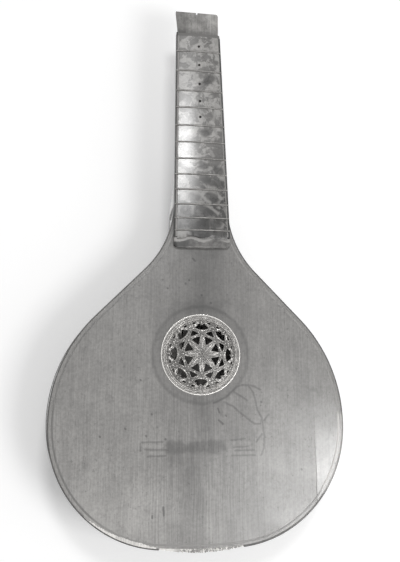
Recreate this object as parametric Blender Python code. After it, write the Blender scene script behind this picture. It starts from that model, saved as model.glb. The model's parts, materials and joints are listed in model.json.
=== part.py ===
"""English guitar, lying face up on its flat back.

+X runs to the treble side, +Y up the neck and +Z out of the soundboard. Every piece is drawn with
the centre of the rose at X 0, Y 0. One empty then moves the whole instrument, so that the middle of
its underside is at the world origin. Lengths are in metres.
"""
import math

import bpy
import bmesh
from mathutils import Vector

# Clearance between pieces that touch, and the angle at which shading breaks
GAP = 0.0003
SHARP_ANGLE = math.radians(35)

# Half outline of the body: arcs from the tail to the throat, closed by one straight
TAIL_Y = -0.1839
TAIL_RADIUS = 0.430
TAIL_SWEEP = math.radians(5.7)
HIP_RADIUS = 0.1143
HIP_SWEEP = math.radians(80.1)
FLANK_RADIUS = 0.1458
FLANK_SWEEP = math.radians(48.9)
THROAT_RADIUS = 0.0977
THROAT_HALF = 0.0280
THROAT_HEADING = math.radians(91.5)
EDGE_STEP = 0.010
HALVINGS = 40

# The box of the body
DEPTH = 0.066
TOP_THICK = 0.0028
BACK_THICK = 0.0028
RIB_THICK = 0.0020
RIB_INSET = 0.0006
BACK_SPREAD = 0.0034
BACK_DRAW = 0.0045
DRAW_START_Y = 0.020
DRAW_END_Y = 0.150

# Edging of the soundboard
BINDING_WIDE = 0.0013
STRINGING_WIDE = 0.0008
PURFLING_INSET = 0.0040
PURFLING_WIDE = 0.0018
PURFLING_DEEP = 0.0009
BINDING_END_BASS_X = 0.0384
BINDING_END_TREBLE_X = 0.0410
TOP_JOINT_X = 0.0069
WING_JOINT_X = 0.1163

# Rose
ROSE_RADIUS = 0.0390
ROSE_BEAD = 0.0014
ROSE_RIM_HIGH = 0.0010
ROSE_BEAD_HIGH = 0.0018
HOLE_RADIUS = 0.0363
TRACERY_RADIUS = 0.0337
TRACERY_THICK = 0.0014
TRACERY_RISE = 0.0085
TRACERY_HUB = 0.0010
LEDGE_WIDE = 0.0013
LEDGE_DEEP = 0.0010
ROSE_LOBES = 8
ROSE_STEPS = 48
PATCH_WIDE = 0.009
PATCH_THICK = 0.0020

# Frame inside the body
LINING_WIDE = 0.005
LINING_HIGH = 0.008
END_BLOCK_HALF = 0.030
END_BLOCK_DEEP = 0.022
NECK_BLOCK_START_Y = 0.102
BAR_WIDE = 0.008
TOP_BAR_HIGH = 0.014
BACK_BAR_HIGH = 0.010
BAR_END_HIGH = 0.006
BAR_SCOOP = 0.028
TOP_BAR_Y = {"upper": 0.060, "middle": -0.058, "lower": -0.128}
BACK_BAR_Y = {"upper": 0.045, "middle": -0.040, "lower": -0.120}
STRIP_HALF = 0.008
STRIP_THICK = 0.0020

# Neck, heel and head, with the neck's lean towards the bass side
NECK_LEAN = math.radians(1.17)
NUT_Y = 0.3393
HEAD_LONG = 0.0267
SHAFT_DEEP = 0.0180
HEAD_DEEP = 0.0155
HEEL_LONG = 0.052
FOOT_LONG = 0.020
FOOT_TIP_HALF = 0.0015
HEAD_BASE_LEFT = 0.0210
HEAD_BASE_RIGHT = 0.0226
HEAD_TOP_HALF = 0.0230
HEAD_CORNER = 0.0032
HEAD_FLATNESS = (0.3, 0.6)
NOTCH_RADIUS = 0.0014
NOTCH_DEEP = 0.0013
FOOT_SHARES = (0.0, 0.3, 0.55, 0.75, 0.9, 0.98)
HEEL_SHARES = (0.04, 0.12, 0.25, 0.4, 0.6, 0.8, 1.0)
HEEL_CURVE = 2.6
SECTION_STEPS = 7
CAP_STEPS = 12
TENON_HALF = 0.009
TENON_LONG = 0.014
TENON_LOW = 0.016
TENON_HIGH = 0.052

# Fingerboard
STRING_LENGTH = 0.430
BOARD_END_Y = 0.1073
BOARD_HALF_NUT = 0.0232
BOARD_HALF_END = 0.0289
CORE_THICK = 0.0030
VENEER_THICK = 0.0016
CAMBER = 0.0017
BOARD_COLUMNS = 8
STRIP_WIDE = 0.0019
LINE_WIDE = 0.0010
VENEER_BREAK_Y = 0.1142
BREAK_WAVE = 0.0020
BREAK_PERIOD = 0.025
BREAK_CREST_X = -0.0105
NUT_SEAT = 0.0042
# How far each fret stands off equal temperament, towards the nut
FRET_SHIFTS = (0.0025, 0.0034, 0.0026, 0.0046, 0.0040, 0.0041,
               0.0034, 0.0028, 0.0020, 0.0008, 0.0001, 0.0)
FRET_WIDE = 0.0015
FRET_CROWN = 0.2
FRET_HIGH = 0.0009
FRET_SLOT = 0.0006
FRET_SHORT = 0.0002
SLOT_SLOPE = 0.0001
CAPO_RADIUS = 0.0014
CAPO_SIDES = 12
CAPO_SHARES = (0.73, 0.71, 0.69, 0.64, 0.53)

# Hitch pins at the tail
PIN_COUNT = 6
PIN_SPACING = 0.009
PIN_HEIGHT = 0.038
PIN_RADIUS = 0.0015
PIN_HEAD_RADIUS = 0.0024
PIN_LONG = 0.012
PIN_STAND = 0.0042
PIN_TAPER = 0.8
PIN_ROUND = 0.6
PIN_SIDES = 10

BOARD_BASE = DEPTH + GAP
LAYER_BASE = BOARD_BASE + CORE_THICK + GAP
HEAD_TOP_Y = NUT_Y + HEAD_LONG


def edge_parts():
    """Arcs of half the outline: start, heading, signed radius (None is straight) and length."""
    x, y, heading = 0.0, TAIL_Y, 0.0
    parts = []
    arcs = ((TAIL_RADIUS, TAIL_SWEEP), (HIP_RADIUS, HIP_SWEEP), (FLANK_RADIUS, FLANK_SWEEP))
    for radius, sweep in arcs:
        parts.append((x, y, heading, radius, radius * sweep))
        x += radius * (math.sin(heading + sweep) - math.sin(heading))
        y += radius * (math.cos(heading) - math.cos(heading + sweep))
        heading += sweep
    turn_x = THROAT_RADIUS * (math.sin(heading) - math.sin(THROAT_HEADING))
    straight = (THROAT_HALF - x - turn_x) / math.cos(heading)
    parts.append((x, y, heading, None, straight))
    x += straight * math.cos(heading)
    y += straight * math.sin(heading)
    parts.append((x, y, heading, -THROAT_RADIUS, THROAT_RADIUS * (heading - THROAT_HEADING)))
    return parts


EDGE_PARTS = edge_parts()
EDGE_LENGTH = sum(part[4] for part in EDGE_PARTS)


def edge_state(run):
    """Place and heading on the half outline, at a distance along it from the tail's middle."""
    left = min(abs(run), EDGE_LENGTH)
    for x, y, heading, radius, length in EDGE_PARTS:
        if left <= length or radius == -THROAT_RADIUS:
            break
        left -= length
    if radius is None:
        return x + left * math.cos(heading), y + left * math.sin(heading), heading
    turned = heading + left / radius
    along_x = radius * (math.sin(turned) - math.sin(heading))
    along_y = radius * (math.cos(heading) - math.cos(turned))
    return x + along_x, y + along_y, turned


def reach(y):
    """How far the back stands out past the soundboard: out at the hips, drawn in at the throat."""
    share = min(1.0, max(0.0, (y - DRAW_START_Y) / (DRAW_END_Y - DRAW_START_Y)))
    share = share * share * (3.0 - 2.0 * share)
    return BACK_SPREAD * (1.0 - share) - BACK_DRAW * share


def at_edge(run, inset, z):
    """A point inside the outline by inset, at height z on the leaning side; run < 0 is bass."""
    x, y, heading = edge_state(run)
    inset = inset - reach(y) * (1.0 - z / DEPTH)
    side = -1.0 if run < 0 else 1.0
    return Vector((side * (x - math.sin(heading) * inset), y + math.cos(heading) * inset, z))


def run_where(reached):
    """The first distance along the half outline at which reached(x, y) holds."""
    low, high = 0.0, EDGE_STEP
    while not reached(*edge_state(high)[:2]):
        low, high = high, high + EDGE_STEP
    for _ in range(HALVINGS):
        middle = (low + high) / 2
        if reached(*edge_state(middle)[:2]):
            high = middle
        else:
            low = middle
    return high


def spread(start, end, step=EDGE_STEP):
    """Evenly spaced values from start to end, both included."""
    count = max(1, math.ceil(abs(end - start) / step))
    return [start + (end - start) * index / count for index in range(count + 1)]


def half_at(y, inset, z):
    """Half width of the body at y, inside the outline by inset, at height z."""
    points = [at_edge(run, inset, z) for run in spread(0.0, EDGE_LENGTH, EDGE_STEP / 4)]
    widths = []
    for low, high in zip(points, points[1:]):
        if min(low.y, high.y) <= y <= max(low.y, high.y) and low.y != high.y:
            widths.append(low.x + (high.x - low.x) * (y - low.y) / (high.y - low.y))
    return max(widths)


THROAT_Y = edge_state(EDGE_LENGTH)[1]


def clear_objects():
    for item in list(bpy.data.objects):
        bpy.data.objects.remove(item, do_unlink=True)


def finish(name, colour, roughness, metallic=0.0):
    material = bpy.data.materials.new(name)
    material.use_nodes = True
    shader = material.node_tree.nodes["Principled BSDF"]
    shader.inputs["Base Color"].default_value = (*colour, 1.0)
    shader.inputs["Roughness"].default_value = roughness
    shader.inputs["Metallic"].default_value = metallic
    material.diffuse_color = (*colour, 1.0)
    return material


def make_frames():
    """The empty that carries the instrument, and the one that leans the neck."""
    lean_sine = math.sin(NECK_LEAN) * HEAD_TOP_HALF
    head_reach = THROAT_Y + (HEAD_TOP_Y - THROAT_Y) * math.cos(NECK_LEAN) + lean_sine
    tail_reach = at_edge(0.0, RIB_INSET, PIN_HEIGHT).y - PIN_STAND
    body = bpy.data.objects.new("instrument", None)
    body.location = (0.0, -(head_reach + tail_reach) / 2, 0.0)
    bpy.context.collection.objects.link(body)
    neck = bpy.data.objects.new("neck_line", None)
    neck.parent = body
    neck.location = (0.0, THROAT_Y, 0.0)
    neck.rotation_euler = (0.0, 0.0, NECK_LEAN)
    bpy.context.collection.objects.link(neck)
    return body, neck


clear_objects()
BODY_FRAME, NECK_FRAME = make_frames()
SPRUCE = finish("spruce", (0.24, 0.23, 0.21), 0.35)
MAPLE = finish("maple", (0.16, 0.15, 0.14), 0.35)
DARK_WOOD = finish("dark_wood", (0.03, 0.03, 0.03), 0.4)
PALE_LINE = finish("pale_line", (0.55, 0.54, 0.50), 0.45)
PLAIN_WOOD = finish("plain_wood", (0.40, 0.38, 0.34), 0.8)
SHELL = finish("shell", (0.10, 0.09, 0.08), 0.15)
BRASS = finish("brass", (0.42, 0.41, 0.38), 0.35, 1.0)
BONE = finish("bone", (0.65, 0.63, 0.58), 0.4)


def place(name, bm, material, on_neck=False):
    """Turn a bmesh into a named object on one of the two frames."""
    bmesh.ops.recalc_face_normals(bm, faces=bm.faces)
    mesh = bpy.data.meshes.new(name)
    bm.to_mesh(mesh)
    bm.free()
    mesh.shade_smooth()
    mesh.set_sharp_from_angle(angle=SHARP_ANGLE)
    piece = bpy.data.objects.new(name, mesh)
    mesh.materials.append(material)
    bpy.context.collection.objects.link(piece)
    piece.parent = NECK_FRAME if on_neck else BODY_FRAME
    if on_neck:
        piece.location = (0.0, -THROAT_Y, 0.0)
    return piece


def loft(bm, sections, closed=False):
    """Walls between sections of equal count, with end caps unless they close on themselves."""
    rings = [[bm.verts.new(point) for point in section] for section in sections]
    pairs = list(zip(rings, rings[1:]))
    if closed:
        pairs.append((rings[-1], rings[0]))
    for near, far in pairs:
        for index in range(len(near)):
            after = (index + 1) % len(near)
            bm.faces.new((near[index], near[after], far[after], far[index]))
    if not closed:
        bm.faces.new(rings[0])
        bm.faces.new(rings[-1])


def sweep(name, sections, material, closed=False, on_neck=False):
    bm = bmesh.new()
    loft(bm, sections, closed)
    return place(name, bm, material, on_neck)


def slab(name, outline, low, high, material, on_neck=False):
    """An outline of (x, y) raised from low to high."""
    sections = [[Vector((x, y, z)) for x, y in outline] for z in (low, high)]
    return sweep(name, sections, material, on_neck=on_neck)


def as_cutter(piece):
    piece.hide_render = True
    piece.display_type = "WIRE"
    return piece


def shape_with(piece, other, operation="DIFFERENCE"):
    modifier = piece.modifiers.new(other.name, "BOOLEAN")
    modifier.operation = operation
    modifier.object = other
    modifier.solver = "EXACT"


def clip(outline, x, keep_right):
    """The part of a polygon on one side of a line at x."""
    kept = []
    for start, end in zip(outline, outline[1:] + outline[:1]):
        start_in = (start[0] > x) == keep_right
        end_in = (end[0] > x) == keep_right
        if start_in:
            kept.append(start)
        if start_in != end_in:
            share = (x - start[0]) / (end[0] - start[0])
            kept.append((x, start[1] + (end[1] - start[1]) * share))
    return kept


def plate_outline(inset, z):
    runs = spread(-EDGE_LENGTH, 0.0) + spread(0.0, EDGE_LENGTH)[1:]
    return [tuple(at_edge(run, inset, z)[:2]) for run in runs]


def edge_sweep(name, start, end, outer, inner, low, high, material):
    """A strip that follows the outline between two insets and two heights."""
    sections = []
    for run in spread(start, end):
        sections.append([at_edge(run, outer, low), at_edge(run, inner, low),
                         at_edge(run, inner, high), at_edge(run, outer, high)])
    return sweep(name, sections, material)


def top_strip(name, start, end, outer, inner, low, high, material):
    """As edge_sweep, but upright, for what is let into the soundboard's edge."""
    sections = []
    for run in spread(start, end):
        out = at_edge(run, outer, DEPTH)
        near = at_edge(run, inner, DEPTH)
        sections.append([Vector((out.x, out.y, low)), Vector((near.x, near.y, low)),
                         Vector((near.x, near.y, high)), Vector((out.x, out.y, high))])
    return sweep(name, sections, material)


def make_soundboard():
    """Two halves and a narrow wing, with the round hole and the purfling's groove."""
    low, high = DEPTH - TOP_THICK, DEPTH
    rim = BINDING_WIDE + STRINGING_WIDE + 2 * GAP
    whole = plate_outline(rim, DEPTH)
    bass = clip(whole, TOP_JOINT_X - GAP / 2, False)
    treble = clip(clip(whole, TOP_JOINT_X + GAP / 2, True), WING_JOINT_X - GAP / 2, False)
    wing = clip(whole, WING_JOINT_X + GAP / 2, True)
    circle = round_outline(HOLE_RADIUS, ROSE_STEPS)
    hole = as_cutter(slab("soundhole", circle, low - TOP_THICK, high + TOP_THICK, SPRUCE))
    groove_outer = PURFLING_INSET - GAP
    groove_inner = PURFLING_INSET + PURFLING_WIDE + GAP
    floor = DEPTH - PURFLING_DEEP - GAP
    groove = top_strip("purfling_groove", -EDGE_LENGTH, EDGE_LENGTH, groove_outer, groove_inner,
                       floor, DEPTH + TOP_THICK, SPRUCE)
    as_cutter(groove)
    for name, outline in (("bass", bass), ("treble", treble), ("wing", wing)):
        piece = slab("soundboard_" + name, outline, low, high, SPRUCE)
        if name != "wing":
            shape_with(piece, hole)
        shape_with(piece, groove)


def round_outline(radius, steps):
    turn = 2 * math.pi / steps
    return [(radius * math.cos(turn * i), radius * math.sin(turn * i)) for i in range(steps)]


def make_edging():
    low = DEPTH - TOP_THICK
    bass_end = run_where(lambda x, y: x > BINDING_END_BASS_X)
    treble_end = run_where(lambda x, y: x > BINDING_END_TREBLE_X)
    line_out = BINDING_WIDE + GAP
    line_in = line_out + STRINGING_WIDE
    for name, side, start in (("bass", -1, bass_end), ("treble", 1, treble_end)):
        end = side * EDGE_LENGTH
        top_strip("binding_" + name, side * start, end, 0.0, BINDING_WIDE, low, DEPTH, DARK_WOOD)
        top_strip("stringing_" + name, side * GAP, end, line_out, line_in, low, DEPTH, PALE_LINE)
        top_strip("purfling_" + name, side * GAP, end, PURFLING_INSET,
                  PURFLING_INSET + PURFLING_WIDE, DEPTH - PURFLING_DEEP, DEPTH, DARK_WOOD)


def turned(name, profile, material):
    """A ring turned about the rose's axis from (radius, height) pairs."""
    sections = []
    for index in range(ROSE_STEPS):
        angle = 2 * math.pi * index / ROSE_STEPS
        across, along = math.cos(angle), math.sin(angle)
        sections.append([Vector((r * across, r * along, z)) for r, z in profile])
    return sweep(name, sections, material, closed=True)


def dome(radius):
    """Height of the tracery's underside above its rim."""
    return TRACERY_RISE * (1.0 - (radius / TRACERY_RADIUS) ** 2)


def rose_openings():
    """Openings of one lobe as (angle in degrees from the lobe's middle, radius)."""
    kidney = [(-10, 0.0300), (0, 0.0285), (10, 0.0300), (13, 0.0284), (12, 0.0264), (6, 0.0248),
              (0, 0.0243), (-6, 0.0248), (-12, 0.0264), (-13, 0.0284)]
    openings = [kidney]
    for side in (-1, 1):
        openings.append([(side * 12.6, 0.0312), (side * 17.0, 0.0300), (side * 15.5, 0.0319)])
        openings.append([(side * 5.0, 0.0213), (side * 16.5, 0.0236), (side * 17.5, 0.0206)])
    wedge = [(22.5 - 12.5, 0.0163), (22.5, 0.0171), (22.5 + 12.5, 0.0163), (22.5, 0.0090)]
    openings.append(wedge)
    return openings


def make_rose():
    rim = DEPTH + GAP
    ledge_top = DEPTH - LEDGE_DEEP
    ledge_low = ledge_top - LEDGE_DEEP
    inner = TRACERY_RADIUS + GAP
    bead_in = ROSE_RADIUS - ROSE_BEAD
    profile = [(ROSE_RADIUS, rim), (ROSE_RADIUS, rim + ROSE_RIM_HIGH),
               (ROSE_RADIUS - ROSE_BEAD / 2, rim + ROSE_BEAD_HIGH), (bead_in, rim + ROSE_RIM_HIGH),
               (inner, rim + ROSE_RIM_HIGH), (inner, ledge_top), (inner - LEDGE_WIDE, ledge_top),
               (inner - LEDGE_WIDE, ledge_low), (HOLE_RADIUS - GAP, ledge_low),
               (HOLE_RADIUS - GAP, rim)]
    turned("rose_ring", profile, BRASS)
    base = ledge_top + GAP
    radii = [TRACERY_HUB + (TRACERY_RADIUS - TRACERY_HUB) * share / 4 for share in range(5)]
    under = [(radius, base + dome(radius)) for radius in radii]
    over = [(radius, z + TRACERY_THICK) for radius, z in reversed(under)]
    tracery = turned("rose_tracery", under + over, BRASS)
    bm = bmesh.new()
    for lobe in range(ROSE_LOBES):
        middle = math.pi / 2 + 2 * math.pi * lobe / ROSE_LOBES
        for opening in rose_openings():
            flat = []
            for degrees, radius in opening:
                angle = middle + math.radians(degrees)
                flat.append((radius * math.cos(angle), radius * math.sin(angle)))
            high = base + TRACERY_RISE + 2 * TRACERY_THICK
            loft(bm, [[Vector((x, y, z)) for x, y in flat] for z in (base - LEDGE_DEEP, high)])
    shape_with(tracery, as_cutter(place("rose_openings", bm, BRASS)))
    patch_high = DEPTH - TOP_THICK - GAP
    patch_low = patch_high - PATCH_THICK
    patch_in = HOLE_RADIUS + GAP
    turned("soundhole_patch", [(patch_in, patch_low), (patch_in + PATCH_WIDE, patch_low),
                               (patch_in + PATCH_WIDE, patch_high), (patch_in, patch_high)],
           PLAIN_WOOD)


def make_pins():
    """Hitch pins through the ribs into the end block, and the bores that they sit in."""
    face = at_edge(0.0, RIB_INSET, PIN_HEIGHT).y
    stations = [(face + PIN_LONG, PIN_RADIUS * PIN_TAPER), (face - GAP, PIN_RADIUS),
                (face - 2 * GAP, PIN_HEAD_RADIUS),
                (face - PIN_STAND * PIN_TAPER, PIN_HEAD_RADIUS),
                (face - PIN_STAND, PIN_HEAD_RADIUS * PIN_ROUND)]
    bore = [(face + PIN_LONG + GAP, PIN_RADIUS + GAP), (face - PIN_STAND, PIN_RADIUS + GAP)]
    bores = bmesh.new()
    for index in range(PIN_COUNT):
        x = (index - (PIN_COUNT - 1) / 2) * PIN_SPACING
        sweep("hitch_pin_%d" % (index + 1), [disc_at(x, y, r) for y, r in stations], BONE)
        loft(bores, [disc_at(x, y, radius) for y, radius in bore])
    return as_cutter(place("pin_bores", bores, BONE))


def disc_at(x, y, radius):
    """A ring of points in the plane of y, round a pin's axis."""
    points = []
    for index in range(PIN_SIDES):
        angle = 2 * math.pi * index / PIN_SIDES
        points.append(Vector((x + radius * math.cos(angle), y,
                              PIN_HEIGHT + radius * math.sin(angle))))
    return points


def make_walls(bores):
    """Ribs, blocks and linings."""
    low = BACK_THICK + GAP
    high = DEPTH - TOP_THICK - GAP
    inner = RIB_INSET + RIB_THICK
    block_run = run_where(lambda x, y: y > NECK_BLOCK_START_Y)
    end_run = run_where(lambda x, y: x > END_BLOCK_HALF)
    lining_start = run_where(lambda x, y: x > END_BLOCK_HALF + RIB_THICK)
    lining_in = inner + GAP + LINING_WIDE
    for name, side in (("bass", -1), ("treble", 1)):
        rib = edge_sweep("rib_" + name, side * GAP, side * EDGE_LENGTH, RIB_INSET, inner,
                         low, high, MAPLE)
        shape_with(rib, bores)
        span = (side * lining_start, side * (block_run - GAP))
        edge_sweep("top_lining_" + name, *span, inner + GAP, lining_in, high - LINING_HIGH, high,
                   PLAIN_WOOD)
        edge_sweep("back_lining_" + name, *span, inner + GAP, lining_in, low, low + LINING_HIGH,
                   PLAIN_WOOD)
    sections = []
    for z in (low, high):
        arc = [at_edge(run, inner + GAP, z) for run in spread(-end_run, 0.0)]
        arc += [at_edge(run, inner + GAP, z) for run in spread(0.0, end_run)[1:]]
        inside = arc[-1].y + END_BLOCK_DEEP
        sections.append(arc + [Vector((arc[-1].x, inside, z)), Vector((arc[0].x, inside, z))])
    shape_with(sweep("end_block", sections, PLAIN_WOOD), bores)
    sections = []
    for z in (low, high):
        right = [at_edge(run, inner + GAP, z) for run in spread(block_run, EDGE_LENGTH)]
        left = [Vector((-point.x, point.y, z)) for point in reversed(right)]
        sections.append(right + left)
    block = sweep("neck_block", sections, PLAIN_WOOD)
    room = 2 * GAP
    mortise = box("mortise", -TENON_HALF - room, TENON_HALF + room, THROAT_Y - TENON_LONG - room,
                  THROAT_Y + TENON_LONG, TENON_LOW - GAP, TENON_HIGH + GAP, PLAIN_WOOD)
    shape_with(block, as_cutter(mortise))


def box(name, x0, x1, y0, y1, low, high, material, on_neck=False):
    return slab(name, [(x0, y0), (x1, y0), (x1, y1), (x0, y1)], low, high, material, on_neck)


def make_back():
    """Two halves under the ribs, and the cross-grained strip over their joint inside."""
    low_outline = plate_outline(0.0, 0.0)
    for name, right in (("bass", False), ("treble", True)):
        side = GAP / 2 if right else -GAP / 2
        slab("back_" + name, clip(low_outline, side, right), 0.0, BACK_THICK, MAPLE)
    low = BACK_THICK + GAP
    start = at_edge(0.0, RIB_INSET + RIB_THICK, low).y + END_BLOCK_DEEP + RIB_THICK
    end = NECK_BLOCK_START_Y - LINING_WIDE
    box("back_joint_strip", -STRIP_HALF, STRIP_HALF, start, end, low, low + STRIP_THICK, PLAIN_WOOD)
    room = box("strip_room", -STRIP_HALF - GAP, STRIP_HALF + GAP, start - GAP, end + GAP,
               low - GAP, low + STRIP_THICK + GAP, PLAIN_WOOD)
    return as_cutter(room)


def make_bars(strip_room):
    """Cross bars under the soundboard and on the back, scooped thin towards their ends."""
    inner = RIB_INSET + RIB_THICK + LINING_WIDE + 3 * GAP
    top = DEPTH - TOP_THICK - GAP
    for name, y in TOP_BAR_Y.items():
        bar("soundboard_bar_" + name, y, inner, top, -TOP_BAR_HIGH)
    for name, y in BACK_BAR_Y.items():
        piece = bar("back_bar_" + name, y, inner, BACK_THICK + GAP, BACK_BAR_HIGH)
        shape_with(piece, strip_room)


def bar(name, y, inset, glued, high):
    edges = (y - BAR_WIDE / 2, y + BAR_WIDE / 2)
    levels = (glued, glued + high)
    half = min(half_at(edge, inset, z) for edge in edges for z in levels)
    end_high = math.copysign(BAR_END_HIGH, high)
    sections = []
    for x, tall in ((-half, end_high), (BAR_SCOOP - half, high), (half - BAR_SCOOP, high),
                    (half, end_high)):
        sections.append([Vector((x, edges[0], glued)), Vector((x, edges[1], glued)),
                         Vector((x, edges[1], glued + tall)), Vector((x, edges[0], glued + tall))])
    return sweep(name, sections, PLAIN_WOOD)


def board_half(y):
    """Half width of the fingerboard, and of the neck under it."""
    share = (NUT_Y - y) / (NUT_Y - BOARD_END_Y)
    return BOARD_HALF_NUT + (BOARD_HALF_END - BOARD_HALF_NUT) * share


def neck_section(y, left, right, deep, flat_share, squared=0.0):
    """Across the neck: a flat top, round sides, and a flat foot for a share of the width.

    squared turns the section out of the neck's line, so that it lies against the body.
    """
    points = []
    for side, half in ((1, right), (-1, left)):
        flat = max(half * flat_share, FOOT_TIP_HALF)
        turns = range(SECTION_STEPS + 1)
        for step in turns if side == 1 else reversed(turns):
            angle = math.pi / 2 * step / SECTION_STEPS
            x = side * (flat + (half - flat) * math.cos(angle))
            lean = -x * math.tan(NECK_LEAN) * squared
            points.append(Vector((x, y + lean, DEPTH - deep * math.sin(angle))))
    return points


def make_neck():
    """Heel, shaft and the plain block of the head, lofted up the neck."""
    start = THROAT_Y + GAP
    full = DEPTH - BACK_THICK - GAP
    foot_flat = 1.0 - (BACK_DRAW + RIB_INSET) / THROAT_HALF
    sections = []
    for share in FOOT_SHARES:
        y = start + FOOT_LONG * share
        half = board_half(y)
        flat = foot_flat * math.sqrt(1.0 - share * share)
        sections.append(neck_section(y, half, half, full, flat, 1.0 - share))
    for share in HEEL_SHARES:
        y = start + FOOT_LONG + HEEL_LONG * share
        half = board_half(y)
        deep = SHAFT_DEEP + (full - SHAFT_DEEP) * (1.0 - share) ** HEEL_CURVE
        sections.append(neck_section(y, half, half, deep, 0.0))
    half = board_half(NUT_Y)
    base, top = HEAD_FLATNESS
    sections.append(neck_section(NUT_Y - GAP, half, half, HEAD_DEEP, 0.0))
    sections.append(neck_section(NUT_Y + GAP, HEAD_BASE_LEFT, HEAD_BASE_RIGHT, HEAD_DEEP, base))
    sections.append(neck_section(HEAD_TOP_Y, HEAD_TOP_HALF, HEAD_TOP_HALF, HEAD_DEEP, top))
    neck = sweep("neck", sections, MAPLE, on_neck=True)
    tenon = box("tenon", -TENON_HALF, TENON_HALF, THROAT_Y - TENON_LONG, THROAT_Y + TENON_LONG,
                TENON_LOW, TENON_HIGH, MAPLE, on_neck=True)
    shape_with(neck, as_cutter(tenon), "UNION")
    for name, outline in (("head_corner", corner_outline()), ("head_notch", notch_outline())):
        cutter = slab(name, outline, DEPTH - 2 * HEAD_DEEP, DEPTH + HEAD_DEEP, MAPLE, on_neck=True)
        shape_with(neck, as_cutter(cutter))
    return neck


def corner_outline():
    """What is cut away from the head's corner on the treble side."""
    x, y = HEAD_TOP_HALF, HEAD_TOP_Y
    middle = HEAD_CORNER * (1.0 - math.sqrt(0.5))
    return [(x - HEAD_CORNER, y + GAP), (x + HEAD_CORNER, y + GAP),
            (x + HEAD_CORNER, y - HEAD_CORNER), (x, y - HEAD_CORNER), (x - middle, y - middle)]


def notch_outline():
    """The small round notch in the head's cut end."""
    floor = HEAD_TOP_Y - NOTCH_DEEP
    notch = [(-NOTCH_RADIUS, HEAD_TOP_Y + GAP)]
    for step in range(CAP_STEPS // 2 + 1):
        angle = math.pi * (1.0 + 2.0 * step / CAP_STEPS)
        notch.append((NOTCH_RADIUS * math.cos(angle), floor + NOTCH_RADIUS * math.sin(angle)))
    notch.append((NOTCH_RADIUS, HEAD_TOP_Y + GAP))
    return notch


def make_heel_cap():
    start = THROAT_Y + GAP
    half = THROAT_HALF - BACK_DRAW
    cap = []
    for step in range(CAP_STEPS + 1):
        angle = math.pi * step / CAP_STEPS
        cap.append((half * math.cos(angle), start + FOOT_LONG * math.sin(angle)))
    slab("heel_cap", cap, 0.0, BACK_THICK, DARK_WOOD)


def fret_y(number):
    """Where a fret stands, as its maker set it by ear; fret 0 is the nut."""
    even = NUT_Y - STRING_LENGTH * (1.0 - 2.0 ** (-number / 12.0))
    return even + FRET_SHIFTS[number - 1] if number else even


def across(half):
    """Places across the board from edge to edge."""
    return [half * (2.0 * column / BOARD_COLUMNS - 1.0) for column in range(BOARD_COLUMNS + 1)]


def camber(x, y):
    return CAMBER * (1.0 - (x / board_half(y)) ** 2)


def board_stations(low, high):
    """Places along the board with the depth of the fret slot there."""
    stations = [(low, 0.0)]
    half = FRET_WIDE / 2 + GAP
    for number in range(len(FRET_SHIFTS), 0, -1):
        y = fret_y(number)
        if low + half < y < high - half:
            stations += [(y - half - SLOT_SLOPE, 0.0), (y - half, FRET_SLOT)]
            stations += [(y + half, FRET_SLOT), (y + half + SLOT_SLOPE, 0.0)]
    stations.append((high, 0.0))
    return stations


def board_layer(name, low, high, inner, outer, columns, material, ragged=False):
    """A top layer of the board between two distances in from its edges, inner and outer."""
    sections = []
    for y, slot in board_stations(low, high):
        half = board_half(y)
        left, right = inner(half), outer(half)
        under, over = [], []
        for column in range(columns + 1):
            x = left + (right - left) * column / columns
            along = y
            if ragged and y == low:
                along += BREAK_WAVE * math.cos(2 * math.pi * (x - BREAK_CREST_X) / BREAK_PERIOD)
            base = LAYER_BASE + camber(x, y)
            under.append(Vector((x, along, base)))
            over.append(Vector((x, along, base + VENEER_THICK - slot)))
        sections.append(under + over[::-1])
    return sweep(name, sections, material, on_neck=True)


def make_fingerboard():
    sections = []
    for y in (BOARD_END_Y, NUT_Y - GAP):
        half = board_half(y)
        xs = across(half)
        over = [Vector((x, y, BOARD_BASE + CORE_THICK + camber(x, y))) for x in reversed(xs)]
        sections.append([Vector((xs[0], y, BOARD_BASE)), Vector((xs[-1], y, BOARD_BASE))] + over)
    core = sweep("fingerboard_core", sections, DARK_WOOD, on_neck=True)
    top = NUT_Y - NUT_SEAT
    line = STRIP_WIDE + GAP
    veneer = line + LINE_WIDE + GAP
    low = VENEER_BREAK_Y
    board_layer("fingerboard_edge_bass", low, NUT_Y - GAP, lambda half: -half,
                lambda half: STRIP_WIDE - half, 1, DARK_WOOD)
    board_layer("fingerboard_edge_treble", low, top, lambda half: half - STRIP_WIDE,
                lambda half: half, 1, DARK_WOOD)
    board_layer("fingerboard_line_bass", low, top, lambda half: line - half,
                lambda half: line + LINE_WIDE - half, 1, PALE_LINE)
    board_layer("fingerboard_line_treble", low, top, lambda half: half - line - LINE_WIDE,
                lambda half: half - line, 1, PALE_LINE)
    shell = board_layer("fingerboard_veneer", low, top, lambda half: veneer - half,
                        lambda half: half - veneer, 2 * BOARD_COLUMNS, SHELL, ragged=True)
    return core, shell


def make_frets():
    for number in range(1, len(FRET_SHIFTS) + 1):
        y = fret_y(number)
        half = board_half(y) - FRET_SHORT
        sections = []
        for x in across(half):
            surface = LAYER_BASE + camber(x, y) + VENEER_THICK
            low = surface - FRET_SLOT + GAP
            shoulder, crown = surface + FRET_HIGH / 2, surface + FRET_HIGH
            outline = [(-0.5, low), (0.5, low), (0.5, shoulder), (FRET_CROWN, crown),
                       (-FRET_CROWN, crown), (-0.5, shoulder)]
            sections.append([Vector((x, y + FRET_WIDE * share, z)) for share, z in outline])
        sweep("fret_%02d" % number, sections, BRASS, on_neck=True)


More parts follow.
